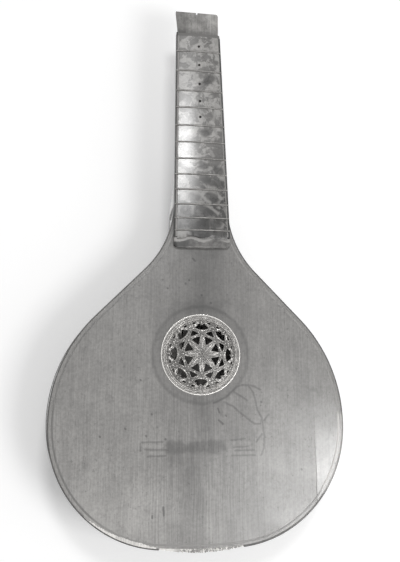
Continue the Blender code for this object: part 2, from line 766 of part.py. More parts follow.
def drill_capo_holes(pieces):
    """Five holes for the capo's bolt, drilled by eye between the first frets."""
    bm = bmesh.new()
    for number, share in enumerate(CAPO_SHARES):
        y = fret_y(number) + (fret_y(number + 1) - fret_y(number)) * share
        ring = [(x, y + along) for x, along in round_outline(CAPO_RADIUS, CAPO_SIDES)]
        low, high = DEPTH - 2 * SHAFT_DEEP, DEPTH + SHAFT_DEEP
        loft(bm, [[Vector((x, along, z)) for x, along in ring] for z in (low, high)])
    drill = as_cutter(place("capo_drill", bm, BRASS, on_neck=True))
    for piece in pieces:
        shape_with(piece, drill)


make_soundboard()
make_edging()
make_rose()
make_walls(make_pins())
make_bars(make_back())
NECK = make_neck()
make_heel_cap()
CORE, VENEER = make_fingerboard()
make_frets()
drill_capo_holes([NECK, CORE, VENEER])
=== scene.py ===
# %% [markdown]
# # English guitar
#
# An English guitar is a pear-shaped, flat-backed plucked instrument of the eighteenth century. This
# one has lost its strings, bridge, nut and tuning machine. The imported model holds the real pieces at
# their real size. This file gives them their finer shapes and their looks. The instrument lies face
# up on its back: +X is the treble side, +Y runs up the neck and +Z comes out of the soundboard.

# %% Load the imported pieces
import json
import math

import bmesh
import bpy
import numpy as np
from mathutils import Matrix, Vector


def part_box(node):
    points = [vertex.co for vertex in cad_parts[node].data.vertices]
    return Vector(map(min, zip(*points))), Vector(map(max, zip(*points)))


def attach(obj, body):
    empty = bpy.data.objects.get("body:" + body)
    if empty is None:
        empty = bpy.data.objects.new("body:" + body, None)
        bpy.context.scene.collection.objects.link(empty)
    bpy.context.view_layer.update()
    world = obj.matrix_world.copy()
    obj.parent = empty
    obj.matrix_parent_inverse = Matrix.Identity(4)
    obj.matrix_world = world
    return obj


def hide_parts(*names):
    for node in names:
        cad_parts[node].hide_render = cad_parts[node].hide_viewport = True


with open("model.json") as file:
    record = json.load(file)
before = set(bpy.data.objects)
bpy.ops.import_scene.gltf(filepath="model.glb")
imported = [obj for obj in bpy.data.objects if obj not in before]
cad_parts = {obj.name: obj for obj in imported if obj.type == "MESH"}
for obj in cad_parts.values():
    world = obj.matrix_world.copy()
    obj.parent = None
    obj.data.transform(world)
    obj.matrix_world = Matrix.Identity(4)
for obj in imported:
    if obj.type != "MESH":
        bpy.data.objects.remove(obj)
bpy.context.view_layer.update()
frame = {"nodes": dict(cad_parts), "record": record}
nodes = frame["nodes"]
print("pieces from the frame:", len(nodes))

# %% [markdown]
# ## A ruler on the soundboard
#
# A maker lays out a soundboard from the centre of the rose. The same is done here: every place is
# written in millimetres from the rose's centre, with height 0 on the soundboard, and turned into
# metres only when a mesh is made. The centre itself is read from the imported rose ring.

# %% Millimetres from the rose
MM = 0.001
ring_low, ring_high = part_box("rose_ring")
ROSE = Vector((0.0, (ring_low.y + ring_high.y) / 2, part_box("soundboard_bass")[1].z))
FLOOR_Z = -ROSE.z / MM


def spot(x, y, z=0.0):
    """World place of a point in millimetres from the rose."""
    return Vector((x * MM, ROSE.y + y * MM, ROSE.z + z * MM))


print("rose centre", [round(v, 4) for v in ROSE])

# %% [markdown]
# ## Outline of the body
#
# The outline is the classic way of drawing such a body: a few arcs that meet without a corner, from
# the tail round the hips to the throat, with one short straight. A point on it is named by its run,
# the distance from the middle of the tail, which is negative on the bass side. The ribs, the edging
# and the soundboard all use it, so they fit each other.

# %% Arcs from tail to throat
TAIL_Y = -183.9
ARCS = ((430.0, math.radians(5.7)), (114.3, math.radians(80.1)), (145.8, math.radians(48.9)))
THROAT_RADIUS = 97.7
THROAT_HALF = 28.0
THROAT_HEADING = math.radians(91.5)


def edge_parts():
    """Start, heading, signed radius (None is straight) and length of each part."""
    x, y, heading = 0.0, TAIL_Y, 0.0
    parts = []
    for radius, turn in ARCS:
        parts.append((x, y, heading, radius, radius * turn))
        x += radius * (math.sin(heading + turn) - math.sin(heading))
        y += radius * (math.cos(heading) - math.cos(heading + turn))
        heading += turn
    last = THROAT_RADIUS * (math.sin(heading) - math.sin(THROAT_HEADING))
    straight = (THROAT_HALF - x - last) / math.cos(heading)
    parts.append((x, y, heading, None, straight))
    x += straight * math.cos(heading)
    y += straight * math.sin(heading)
    parts.append((x, y, heading, -THROAT_RADIUS, THROAT_RADIUS * (heading - THROAT_HEADING)))
    return parts


EDGE_PARTS = edge_parts()
HALF_RUN = sum(part[4] for part in EDGE_PARTS)


def edge_state(run):
    left = min(abs(run), HALF_RUN)
    for x, y, heading, radius, length in EDGE_PARTS:
        if left <= length or radius == -THROAT_RADIUS:
            break
        left -= length
    if radius is None:
        return x + left * math.cos(heading), y + left * math.sin(heading), heading
    turned = heading + left / radius
    return (x + radius * (math.sin(turned) - math.sin(heading)),
            y + radius * (math.cos(heading) - math.cos(turned)), turned)


def edge(run, inset, z=0.0):
    """A point inside the outline by inset."""
    x, y, heading = edge_state(run)
    side = -1.0 if run < 0 else 1.0
    return Vector((side * (x - math.sin(heading) * inset), y + math.cos(heading) * inset, z))


def spread(start, end, step):
    count = max(1, math.ceil(abs(end - start) / step))
    return [start + (end - start) * index / count for index in range(count + 1)]


THROAT_Y = edge_state(HALF_RUN)[1]
print("outline from tail to throat, mm:", round(HALF_RUN, 1))

# %% [markdown]
# ## The neck's own line
#
# The neck leans a little to the bass side, as old glued joints do. Its pieces are drawn straight and
# then leaned about the middle of the throat.

# %% Lean of the neck
NECK_LEAN = math.radians(1.17)


def leaned(point):
    x, y, z = point
    y -= THROAT_Y
    return Vector((x * math.cos(NECK_LEAN) - y * math.sin(NECK_LEAN),
                   THROAT_Y + x * math.sin(NECK_LEAN) + y * math.cos(NECK_LEAN), z))


# %% [markdown]
# ## Making a piece
#
# Each rebuilt piece is one mesh object at the origin, with its place in its mesh. It rides on the
# instrument's one body, takes its finish and stands in for the imported nodes that it replaces.
# Some woods need to know where the grain runs on a curved piece. For those, each point keeps its
# place on the unrolled wood, across and along the grain, in an attribute called lay.

# %% Helpers for pieces
CREASE = math.radians(38)


def settle(piece, name, finish, stands_for, crease=CREASE):
    """Name, finish and attach a piece whose mesh is ready."""
    piece.name = name
    piece.data.name = name
    mesh = piece.data
    if finish is not None:
        mesh.materials.clear()
        mesh.materials.append(finish)
    mesh.shade_smooth()
    mesh.set_sharp_from_angle(angle=crease)
    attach(piece, "root")
    if stands_for:
        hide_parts(*stands_for)
    return piece


def raw_mesh(name, points, faces, lay=None):
    """A linked object from points in millimetres and faces, with its normals turned outwards."""
    mesh = bpy.data.meshes.new(name)
    mesh.from_pydata([spot(*point) for point in points], [], faces)
    if lay is not None:
        attribute = mesh.attributes.new("lay", "FLOAT_VECTOR", "POINT")
        attribute.data.foreach_set("vector", [value * MM for place in lay for value in place])
    bm = bmesh.new()
    bm.from_mesh(mesh)
    bmesh.ops.recalc_face_normals(bm, faces=bm.faces)
    bm.to_mesh(mesh)
    bm.free()
    item = bpy.data.objects.new(name, mesh)
    bpy.context.scene.collection.objects.link(item)
    return item


def loft(sections, closed_ends=True):
    """Points and faces of a skin over sections that have the same number of points."""
    count = len(sections[0])
    points = [point for section in sections for point in section]
    faces = []
    for row in range(len(sections) - 1):
        for index in range(count):
            near, after = row * count + index, row * count + (index + 1) % count
            faces.append((near, after, after + count, near + count))
    if closed_ends:
        faces.append(tuple(range(count)))
        faces.append(tuple(range(len(points) - count, len(points))))
    return points, faces


def cut(piece, cutter, keep=False):
    """Take one mesh out of another for good."""
    change = piece.modifiers.new("cut", "BOOLEAN")
    change.operation = "DIFFERENCE"
    change.solver = "EXACT"
    change.object = cutter
    bake_modifiers(piece)
    if not keep:
        bpy.data.objects.remove(cutter, do_unlink=True)


def bake_modifiers(piece):
    depsgraph = bpy.context.evaluated_depsgraph_get()
    mesh = bpy.data.meshes.new_from_object(piece.evaluated_get(depsgraph))
    piece.modifiers.clear()
    piece.data = mesh


def soften(piece, width, segments=2):
    """Round the hard edges of a piece by a small bevel."""
    change = piece.modifiers.new("soften", "BEVEL")
    change.width = width * MM
    change.segments = segments
    change.limit_method = "ANGLE"
    change.angle_limit = CREASE
    bake_modifiers(piece)


print("helpers ready")

# %% [markdown]
# ## Writing materials
#
# Materials here are node trees. Two small helpers keep them readable: one adds a node and fills its
# sockets, the other starts a node group, which is a reusable effect with named inputs and outputs.

# %% Helpers for node trees
def add(tree, kind, inputs=None, **settings):
    item = tree.nodes.new(kind)
    for name, value in settings.items():
        setattr(item, name, value)
    for key, value in (inputs or {}).items():
        if isinstance(value, bpy.types.NodeSocket):
            tree.links.new(value, item.inputs[key])
        else:
            item.inputs[key].default_value = value
    return item


def maths(tree, operation, first, second=0.0):
    return add(tree, "ShaderNodeMath", {0: first, 1: second}, operation=operation).outputs[0]


def ramp(tree, value, low, high, start=0.0, end=1.0):
    """A smooth step from start, at low, to end, at high."""
    item = add(tree, "ShaderNodeMapRange", {0: value, 1: low, 2: high, 3: start, 4: end},
               interpolation_type="SMOOTHSTEP")
    return item.outputs[0]


def mixed(tree, factor, first, second, kind="MIX"):
    item = add(tree, "ShaderNodeMix", {0: factor, 6: first, 7: second}, data_type="RGBA",
               blend_type=kind)
    return item.outputs[2]


def noise(tree, vector, scale, detail=3.0, rough=0.5, distort=0.0):
    item = add(tree, "ShaderNodeTexNoise", {"Vector": vector, "Scale": scale, "Detail": detail,
                                            "Roughness": rough, "Distortion": distort})
    return item.outputs["Fac"]


def group(name, inputs, outputs):
    tree = bpy.data.node_groups.new(name, "ShaderNodeTree")
    for label, kind, value in inputs:
        tree.interface.new_socket(label, in_out="INPUT", socket_type=kind).default_value = value
    for label, kind in outputs:
        tree.interface.new_socket(label, in_out="OUTPUT", socket_type=kind)
    return tree, tree.nodes.new("NodeGroupInput").outputs, tree.nodes.new("NodeGroupOutput").inputs


def grey(value):
    """A neutral, very slightly warm tone, because the photograph has no colours."""
    return (value, value * 0.975, value * 0.94, 1.0)


print("node helpers ready")

# %% [markdown]
# ## Long grain
#
# Wood is streaky along the tree and changes quickly across it. A noise texture whose coordinates are
# squeezed along the grain gives that. One group serves all the woods: Fine is the close lines of the
# yearly rings, Broad is the slow change of tone from board to board, and Pores are short dark dashes.

# %% Shader group for grain
FLOAT, VECTOR, COLOUR = "NodeSocketFloat", "NodeSocketVector", "NodeSocketColor"
GRAIN, into, out = group("long grain", [("Lay", VECTOR, (0, 0, 0)), ("Line spacing", FLOAT, 0.001),
                                        ("Squeeze", FLOAT, 0.02)],
                         [("Fine", FLOAT), ("Broad", FLOAT), ("Pores", FLOAT)])
squeeze = add(GRAIN, "ShaderNodeCombineXYZ", {0: 1.0, 1: into["Squeeze"], 2: 1.0})
wander = noise(GRAIN, into["Lay"], 25.0, 1.0)
shift = add(GRAIN, "ShaderNodeCombineXYZ", {0: maths(GRAIN, "MULTIPLY", wander, 0.003)})
moved = add(GRAIN, "ShaderNodeVectorMath", {0: into["Lay"], 1: shift.outputs[0]}, operation="ADD")
fibre = add(GRAIN, "ShaderNodeVectorMath", {0: moved.outputs[0], 1: squeeze.outputs[0]},
            operation="MULTIPLY").outputs[0]
frequency = maths(GRAIN, "DIVIDE", 0.8, into["Line spacing"])
GRAIN.links.new(ramp(GRAIN, noise(GRAIN, fibre, frequency, 2.0, 0.6), 0.3, 0.7), out["Fine"])
slow = noise(GRAIN, fibre, maths(GRAIN, "MULTIPLY", frequency, 0.09), 3.0, 0.55)
GRAIN.links.new(ramp(GRAIN, slow, 0.32, 0.68), out["Broad"])
dash_lay = add(GRAIN, "ShaderNodeVectorMath", {0: fibre, 1: (1.0, 5.0, 1.0)}, operation="MULTIPLY")
dash = noise(GRAIN, dash_lay.outputs[0], maths(GRAIN, "MULTIPLY", frequency, 1.8), 1.0)
GRAIN.links.new(ramp(GRAIN, dash, 0.66, 0.74), out["Pores"])
print("group:", GRAIN.name)

# %% [markdown]
# ## Wear, grime and painted shade
#
# Handling rounds the corners and rubs the colour off them, and dirt settles in hollows. The wear
# group compares the true normal with one that is rounded over a small distance: they differ only
# near an edge. Noise breaks the band up, so that it doesn't look drawn. The grime group paints
# shade: from ambient occlusion it darkens what little light reaches, which also stands for dirt in
# hollows, and it adds cloudy patches and small specks.

# %% Shader groups for wear, and for grime with painted shade
WEAR, into, out = group("edge wear", [("Width", FLOAT, 0.0005), ("Patchiness", FLOAT, 300.0)],
                        [("Mask", FLOAT)])
rounded = add(WEAR, "ShaderNodeBevel", {"Radius": into["Width"]}, samples=4)
true_normal = add(WEAR, "ShaderNodeNewGeometry").outputs["Normal"]
alike = add(WEAR, "ShaderNodeVectorMath", {0: rounded.outputs[0], 1: true_normal},
            operation="DOT_PRODUCT").outputs["Value"]
place = add(WEAR, "ShaderNodeTexCoord").outputs["Object"]
patchy = ramp(WEAR, noise(WEAR, place, into["Patchiness"], 3.0), 0.38, 0.62)
band = ramp(WEAR, alike, 0.97, 0.80)
WEAR.links.new(maths(WEAR, "MULTIPLY", band, patchy), out["Mask"])

GRIME_AND_SHADE, into, out = group("grime_and_shade", [("Reach", FLOAT, 0.004), ("Cloud size", FLOAT, 0.03),
                                   ("Speck size", FLOAT, 0.002)],
                         [("Hollows", FLOAT), ("Clouds", FLOAT), ("Specks", FLOAT)])
place = add(GRIME_AND_SHADE, "ShaderNodeTexCoord").outputs["Object"]
# Painted shade: ambient occlusion darkens the colour where little light reaches; it also stands for
# dirt in hollows.
shade = add(GRIME_AND_SHADE, "ShaderNodeAmbientOcclusion", {"Distance": into["Reach"]}, samples=4)
GRIME_AND_SHADE.links.new(ramp(GRIME_AND_SHADE, shade.outputs["AO"], 0.85, 0.25), out["Hollows"])
cloud = noise(GRIME_AND_SHADE, place, maths(GRIME_AND_SHADE, "DIVIDE", 1.0, into["Cloud size"]), 4.0, 0.6, 0.3)
GRIME_AND_SHADE.links.new(ramp(GRIME_AND_SHADE, cloud, 0.35, 0.65), out["Clouds"])
speck = noise(GRIME_AND_SHADE, place, maths(GRIME_AND_SHADE, "DIVIDE", 0.6, into["Speck size"]), 2.0, 0.4)
GRIME_AND_SHADE.links.new(ramp(GRIME_AND_SHADE, speck, 0.68, 0.75), out["Specks"])
print("groups:", WEAR.name, "and", GRIME_AND_SHADE.name)

# %% [markdown]
# ## Marks on the soundboard
#
# The board shows where the bridge stood, lines scratched round it and a stained ring round the
# rose. Each is described as a distance, the way a compass and a ruler would: how far a point is from
# a ring, from a stroke between two points, or from a rectangle. A smooth step then turns the distance
# into a soft-edged mark.

# %% Shader groups for marks
STROKE, into, out = group("stroke", [("Place", VECTOR, (0, 0, 0)), ("From", VECTOR, (0, 0, 0)),
                                     ("To", VECTOR, (0, 0, 0)), ("Half width", FLOAT, 0.0005)],
                          [("Distance", FLOAT)])
flat = (1.0, 1.0, 0.0)


def vectors(tree, operation, first, second, output="Vector"):
    item = add(tree, "ShaderNodeVectorMath", {0: first, 1: second}, operation=operation)
    return item.outputs[output]


here = vectors(STROKE, "MULTIPLY", vectors(STROKE, "SUBTRACT", into["Place"], into["From"]), flat)
span = vectors(STROKE, "MULTIPLY", vectors(STROKE, "SUBTRACT", into["To"], into["From"]), flat)
along = maths(STROKE, "DIVIDE", vectors(STROKE, "DOT_PRODUCT", here, span, "Value"),
              vectors(STROKE, "DOT_PRODUCT", span, span, "Value"))
share = add(STROKE, "ShaderNodeClamp", {0: along}).outputs[0]
nearest = add(STROKE, "ShaderNodeVectorMath", {0: span, 3: share}, operation="SCALE").outputs[0]
gap = vectors(STROKE, "DISTANCE", here, nearest, "Value")
STROKE.links.new(maths(STROKE, "SUBTRACT", gap, into["Half width"]), out["Distance"])

RECT, into, out = group("rectangle", [("Place", VECTOR, (0, 0, 0)), ("Centre", VECTOR, (0, 0, 0)),
                                      ("Half size", VECTOR, (0.01, 0.01, 0))],
                        [("Distance", FLOAT)])
apart = vectors(RECT, "SUBTRACT", into["Place"], into["Centre"])
folded = add(RECT, "ShaderNodeVectorMath", {0: apart}, operation="ABSOLUTE").outputs[0]
over = add(RECT, "ShaderNodeSeparateXYZ", {0: vectors(RECT, "SUBTRACT", folded, into["Half size"])})
RECT.links.new(maths(RECT, "MAXIMUM", over.outputs[0], over.outputs[1]), out["Distance"])

RING, into, out = group("ring", [("Place", VECTOR, (0, 0, 0)), ("Centre", VECTOR, (0, 0, 0)),
                                 ("Radius", FLOAT, 0.01), ("Half width", FLOAT, 0.001)],
                        [("Distance", FLOAT)])
flat_place = vectors(RING, "MULTIPLY", into["Place"], flat)
flat_centre = vectors(RING, "MULTIPLY", into["Centre"], flat)
away = vectors(RING, "DISTANCE", flat_place, flat_centre, "Value")
off = add(RING, "ShaderNodeMath", {0: maths(RING, "SUBTRACT", away, into["Radius"])},
          operation="ABSOLUTE").outputs[0]
RING.links.new(maths(RING, "SUBTRACT", off, into["Half width"]), out["Distance"])
print("groups:", STROKE.name, RECT.name, RING.name)


def mark(tree, shape, vector, soft, **sizes):
    """A soft mask from one of the distance groups; its sizes are in millimetres."""
    inputs = {"Place": vector}
    for label, value in sizes.items():
        label = label.replace("_", " ").capitalize()
        if isinstance(value, tuple):
            is_place = label != "Half size"
            inputs[label] = spot(*value) if is_place else Vector((*value, 1000.0)) * MM
        else:
            inputs[label] = value * MM
    distance = add(tree, "ShaderNodeGroup", inputs, node_tree=shape).outputs["Distance"]
    return distance if soft is None else ramp(tree, distance, soft * MM, -soft * MM / 4)


def stained(tree, colour, mask, tone):
    """Multiply a colour where a mask is: a tone under 1 darkens, over 1 lightens."""
    return mixed(tree, mask, colour, (tone, tone, tone, 1.0), "MULTIPLY")


def material(name):
    """A new material, with its tree and its shader."""
    made = bpy.data.materials.new(name)
    made.use_nodes = True
    return made, made.node_tree, made.node_tree.nodes["Principled BSDF"]


def bumped(tree, shader, height, distance, strength=0.5):
    bump = add(tree, "ShaderNodeBump", {"Height": height, "Distance": distance * MM,
                                        "Strength": strength})
    tree.links.new(bump.outputs[0], shader.inputs["Normal"])
    return bump


def grain_of(tree, lay, spacing, squeeze=0.02):
    return add(tree, "ShaderNodeGroup", {"Lay": lay, "Line spacing": spacing * MM,
                                         "Squeeze": squeeze}, node_tree=GRAIN).outputs


def wear_of(tree, width, patchiness=300.0):
    return add(tree, "ShaderNodeGroup", {"Width": width * MM, "Patchiness": patchiness},
               node_tree=WEAR).outputs["Mask"]


def grime_and_shade_of(tree, reach=4.0, clouds=30.0, specks=2.0):
    return add(tree, "ShaderNodeGroup", {"Reach": reach * MM, "Cloud size": clouds * MM,
                                         "Speck size": specks * MM}, node_tree=GRIME_AND_SHADE).outputs


# %% [markdown]
# ## The soundboard's varnished wood
#
# Two centuries of handling have written on this board, and most of what the eye knows it by is in
# those marks: a dark ring round the rose, a dark patch and four faint bars where the bridge stood,
# and fine curved scratches beside it. A soft dark band just below the fingerboard's end is painted
# shadow. They are laid over the grain one after another, each as a tone that multiplies the colour
# below. The marks' edges are pushed about by a little noise.

# %% Marks left by the bridge and by use
SCRATCHES = (
    ((13, -47), (24, -42), (31, -36), (36, -31), (42, -29.5), (50, -29.5), (56, -31.5), (60, -34)),
    ((33, -36), (40, -40), (46.5, -44.5)),
    ((23, -46), (32, -50), (40, -57), (47, -62), (53, -67), (60, -67)),
    ((48, -30), (53, -37), (55, -46), (57, -54), (61, -61), (62.5, -68), (63, -76), (63, -90),
     (60, -97)),
    ((68, -58), (63, -64)),
    ((61, -77), (55.5, -84)),
)
BRIDGE_LINES = (((-57, -84), (-37, -83.6)), ((-58, -85), (-58, -92)), ((-54, -90.7), (-32, -91.2)),
                ((30, -82.5), (44, -81.3)), ((33, -89.5), (47, -88.6)), ((34, -92.5), (53, -92)),
                ((31, -97.2), (54, -97)), ((-51, -97), (-34, -96.6)))
PALE_BARS = (((-55, -87.5), (-37, -87.5)), ((-48, -94.2), (-36, -94.2)), ((32, -85.5), (48, -85)),
             ((34, -91), (51, -90.4)), ((35, -94.7), (50, -94.5)))
SPECKS = ((60.8, -45.8), (-34.5, -80.8), (-53, -77.8), (25, -59), (-59, -25), (-11.9, 74),
          (-15.7, 70.5), (-33.6, 65.3), (0.6, 59.5), (9.9, 51.8), (-96.5, -78), (122, -94.5),
          (101, -111), (-48, -57.5), (-73, -71))
SHORT_STREAKS = (((-35.7, -143.5), (-35.4, -151.0)), ((-46, -151), (-46, -153)),
                 ((17, -52), (18.5, -56)), ((18, -63.5), (22, -67)), ((-8, 96), (-5.8, 93.6)))
SPECK_HALF = 0.65


def nearest_of(tree, vector, lines, half_width):
    """The distance to the nearest of many strokes."""
    closest = None
    for line in lines:
        for start, end in zip(line, line[1:]):
            distance = mark(tree, STROKE, vector, None, **{"from": start, "to": end,
                                                           "half_width": half_width})
            closest = distance if closest is None else maths(tree, "MINIMUM", closest, distance)
    return closest


def soft_edge(tree, distance, soft):
    return ramp(tree, distance, soft * MM, -soft * MM / 4)


def wobbled(tree, vector, scale, reach):
    """A vector pushed about by noise, by up to half of reach in millimetres."""
    push = add(tree, "ShaderNodeTexNoise", {"Vector": vector, "Scale": scale, "Detail": 2.0})
    centred = vectors(tree, "SUBTRACT", push.outputs["Color"], (0.5, 0.5, 0.5))
    sized = add(tree, "ShaderNodeVectorMath", {0: centred, 3: reach * MM}, operation="SCALE")
    return vectors(tree, "ADD", vector, sized.outputs[0])


def board_marks(tree, place, colour):
    """The marks over the wood, and the mask of those that are cut into the varnish."""
    loose = wobbled(tree, place, 60.0, 5.0)
    tight = wobbled(tree, place, 200.0, 1.2)
    wild = wobbled(tree, place, 110.0, 11.0)
    for shape, vector, soft, tone, sizes in (
            (RECT, loose, 60.0, 0.72, {"centre": (0, 10), "half_size": (14, 100)}),
            (RECT, loose, 16.0, 0.74, {"centre": (4, 78), "half_size": (7, 24)}),
            (RECT, loose, 10.0, 0.76, {"centre": (-7, -145), "half_size": (8, 38)}),
            (RECT, loose, 6.0, 0.86, {"centre": (4, -66), "half_size": (5, 18)}),
            (RING, tight, 4.0, 0.84, {"centre": (0, 0), "radius": 44.0, "half_width": 3.0}),
            (RECT, loose, 8.0, 0.79, {"centre": (-2, 46), "half_size": (24, 3)}),
            (RECT, wild, 5.0, 0.86, {"centre": (0, 53), "half_size": (4, 6)}),
            (RECT, wild, 4.0, 0.66, {"centre": (-5, -88.5), "half_size": (28, 4.0)}),
            (RECT, wild, 6.0, 0.84, {"centre": (-15, -95), "half_size": (17, 5)}),
            (RECT, loose, 40.0, 1.22, {"centre": (-80, -152), "half_size": (22, 8)}),
            (RECT, loose, 30.0, 0.84, {"centre": (124, -42), "half_size": (8, 18)}),
            # Painted shadow: a soft dark band just below the fingerboard's end.
            (RECT, loose, 7.0, 0.86, {"centre": (2, 103), "half_size": (19, 4)}),
            (RECT, loose, 30.0, 0.86, {"centre": (48, -165), "half_size": (16, 12)}),
            (RING, tight, 2.0, 0.80, {"centre": (0, 0), "radius": 47.6, "half_width": 0.8})):
        colour = stained(tree, colour, mark(tree, shape, vector, soft, **sizes), tone)
    pale = soft_edge(tree, nearest_of(tree, tight, PALE_BARS, 1.0), 1.2)
    colour = stained(tree, colour, pale, 1.10)
    joint = mark(tree, STROKE, place, 0.5, **{"from": (6.6, -74), "to": (6.6, -184),
                                              "half_width": 0.12})
    colour = stained(tree, colour, joint, 1.25)
    bars = soft_edge(tree, nearest_of(tree, tight, BRIDGE_LINES, 0.5), 0.9)
    colour = stained(tree, colour, bars, 0.68)
    cuts = soft_edge(tree, nearest_of(tree, tight, SCRATCHES, 0.5), 1.1)
    colour = stained(tree, colour, cuts, 0.64)
    dots = [((x, y), (x + 0.3, y - 0.5)) for x, y in SPECKS] + list(SHORT_STREAKS)
    dents = soft_edge(tree, nearest_of(tree, tight, dots, SPECK_HALF), 0.8)
    return stained(tree, colour, dents, 0.50), maths(tree, "MAXIMUM", cuts, dents)


def soundboard_wood(name, tone, coat_rough, sheen=0.0, marked=True):
    """Old spruce. Its fourth argument is how much glossier it gets towards the tail."""
    made, tree, shader = material(name)
    place = add(tree, "ShaderNodeTexCoord").outputs["Object"]
    grain = grain_of(tree, place, 1.2)
    grime_and_shade = grime_and_shade_of(tree)
    patch_zone = mark(tree, RECT, place, 50.0, centre=(0, -110), half_size=(30, 50))
    lines = maths(tree, "MULTIPLY", ramp(tree, grain["Fine"], 0.0, 1.0, -0.18, 0.11),
                  ramp(tree, patch_zone, 0.0, 1.0, 0.55, 1.0))
    colour = mixed(tree, 1.0, grey(tone), maths(tree, "ADD", lines, 1.0), "MULTIPLY")
    colour = stained(tree, colour, grain["Broad"], 0.93)
    colour = stained(tree, colour, grain["Pores"], 0.72)
    colour = stained(tree, colour, grime_and_shade["Clouds"], 0.86)
    smudge = ramp(tree, noise(tree, place, 75.0, 4.0, 0.6, 0.5), 0.56, 0.68)
    colour = stained(tree, colour, smudge, 0.88)
    mottle = ramp(tree, noise(tree, place, 330.0, 4.0, 0.8), 0.3, 0.7, 0.86, 1.14)
    colour = mixed(tree, 1.0, colour, mottle, "MULTIPLY")
    along = add(tree, "ShaderNodeSeparateXYZ", {0: place}).outputs[1]
    # Lighter towards the tail.
    lighter_to_tail = ramp(tree, along, ROSE.y + 70 * MM, ROSE.y - 170 * MM, 0.86, 1.14)
    colour = mixed(tree, 1.0, colour, lighter_to_tail, "MULTIPLY")
    colour = stained(tree, colour, grime_and_shade["Specks"], 0.72)
    height = maths(tree, "SUBTRACT", grain["Fine"], grain["Pores"])
    if marked:
        colour, dents = board_marks(tree, place, colour)
        height = maths(tree, "SUBTRACT", height, maths(tree, "MULTIPLY", dents, 3.0))
    worn = wear_of(tree, 0.5)
    colour = stained(tree, colour, worn, 1.3)
    tree.links.new(colour, shader.inputs["Base Color"])
    gloss = ramp(tree, grime_and_shade["Clouds"], 0.0, 1.0, 0.38, 0.46)
    shader.inputs["Coat Weight"].default_value = 0.8
    shader.inputs["Coat Roughness"].default_value = coat_rough
    if sheen:
        glossier = ramp(tree, along, ROSE.y - 45 * MM, ROSE.y - 105 * MM, 0.0, sheen)
        gloss = maths(tree, "SUBTRACT", gloss, maths(tree, "MULTIPLY", glossier, 0.11))
        tree.links.new(ramp(tree, glossier, 0.0, 1.0, 0.7, 1.0), shader.inputs["Coat Weight"])
    tree.links.new(maths(tree, "ADD", gloss, maths(tree, "MULTIPLY", worn, 0.2)),
                   shader.inputs["Roughness"])
    bumped(tree, shader, height, 0.05, 0.35)
    return made


OLD_SPRUCE = soundboard_wood("old_spruce", 0.290, 0.24)
WING_SPRUCE = soundboard_wood("wing_spruce", 0.290, 0.16, 1.0, marked=False)
print("soundboard finishes:", OLD_SPRUCE.name, WING_SPRUCE.name)

# %% [markdown]
# ## Maple, black wood and bare wood
#
# Ribs, back and neck of such instruments are maple under a dark varnish. Its flame is fibres that
# rise and fall, which show as broad bands across the grain. The edging and the fingerboard's borders
# are stained black, and pale lines run beside them. The inside and the head's block were never
# varnished.

# %% Maple with a flame
def lay_vector(tree, carried):
    if carried:
        return add(tree, "ShaderNodeAttribute", attribute_name="lay").outputs["Vector"]
    return add(tree, "ShaderNodeTexCoord").outputs["Object"]


def flamed_maple(name, tone, rough, carried=True):
    made, tree, shader = material(name)
    lay = lay_vector(tree, carried)
    grain = grain_of(tree, lay, 0.9, 0.04)
    grime_and_shade = grime_and_shade_of(tree)
    bent = wobbled(tree, lay, 40.0, 9.0)
    across = vectors(tree, "MULTIPLY", bent, (0.10, 1.0, 0.10))
    flame = ramp(tree, noise(tree, across, 150.0, 1.5), 0.36, 0.64)
    colour = mixed(tree, grain["Fine"], grey(tone * 0.80), grey(tone * 1.12))
    colour = stained(tree, colour, flame, 1.35)
    colour = stained(tree, colour, grain["Broad"], 0.80)
    colour = stained(tree, colour, grain["Pores"], 0.70)
    colour = stained(tree, colour, grime_and_shade["Specks"], 0.60)
    # Painted shade and dirt: darker where ambient occlusion finds hollows.
    colour = stained(tree, colour, grime_and_shade["Hollows"], 0.55)
    worn = wear_of(tree, 0.7)
    colour = mixed(tree, worn, colour, grey(0.36))
    tree.links.new(colour, shader.inputs["Base Color"])
    gloss = ramp(tree, grime_and_shade["Clouds"], 0.0, 1.0, rough, rough + 0.10)
    tree.links.new(maths(tree, "ADD", gloss, maths(tree, "MULTIPLY", worn, 0.3)),
                   shader.inputs["Roughness"])
    shader.inputs["Coat Weight"].default_value = 0.6
    shader.inputs["Coat Roughness"].default_value = 0.12
    bumped(tree, shader, maths(tree, "SUBTRACT", grain["Fine"], grain["Pores"]), 0.04, 0.3)
    return made


RIB_MAPLE = flamed_maple("rib_maple", 0.17, 0.28)
BACK_MAPLE = flamed_maple("back_maple", 0.17, 0.30, carried=False)
print("maple finishes:", RIB_MAPLE.name, BACK_MAPLE.name)


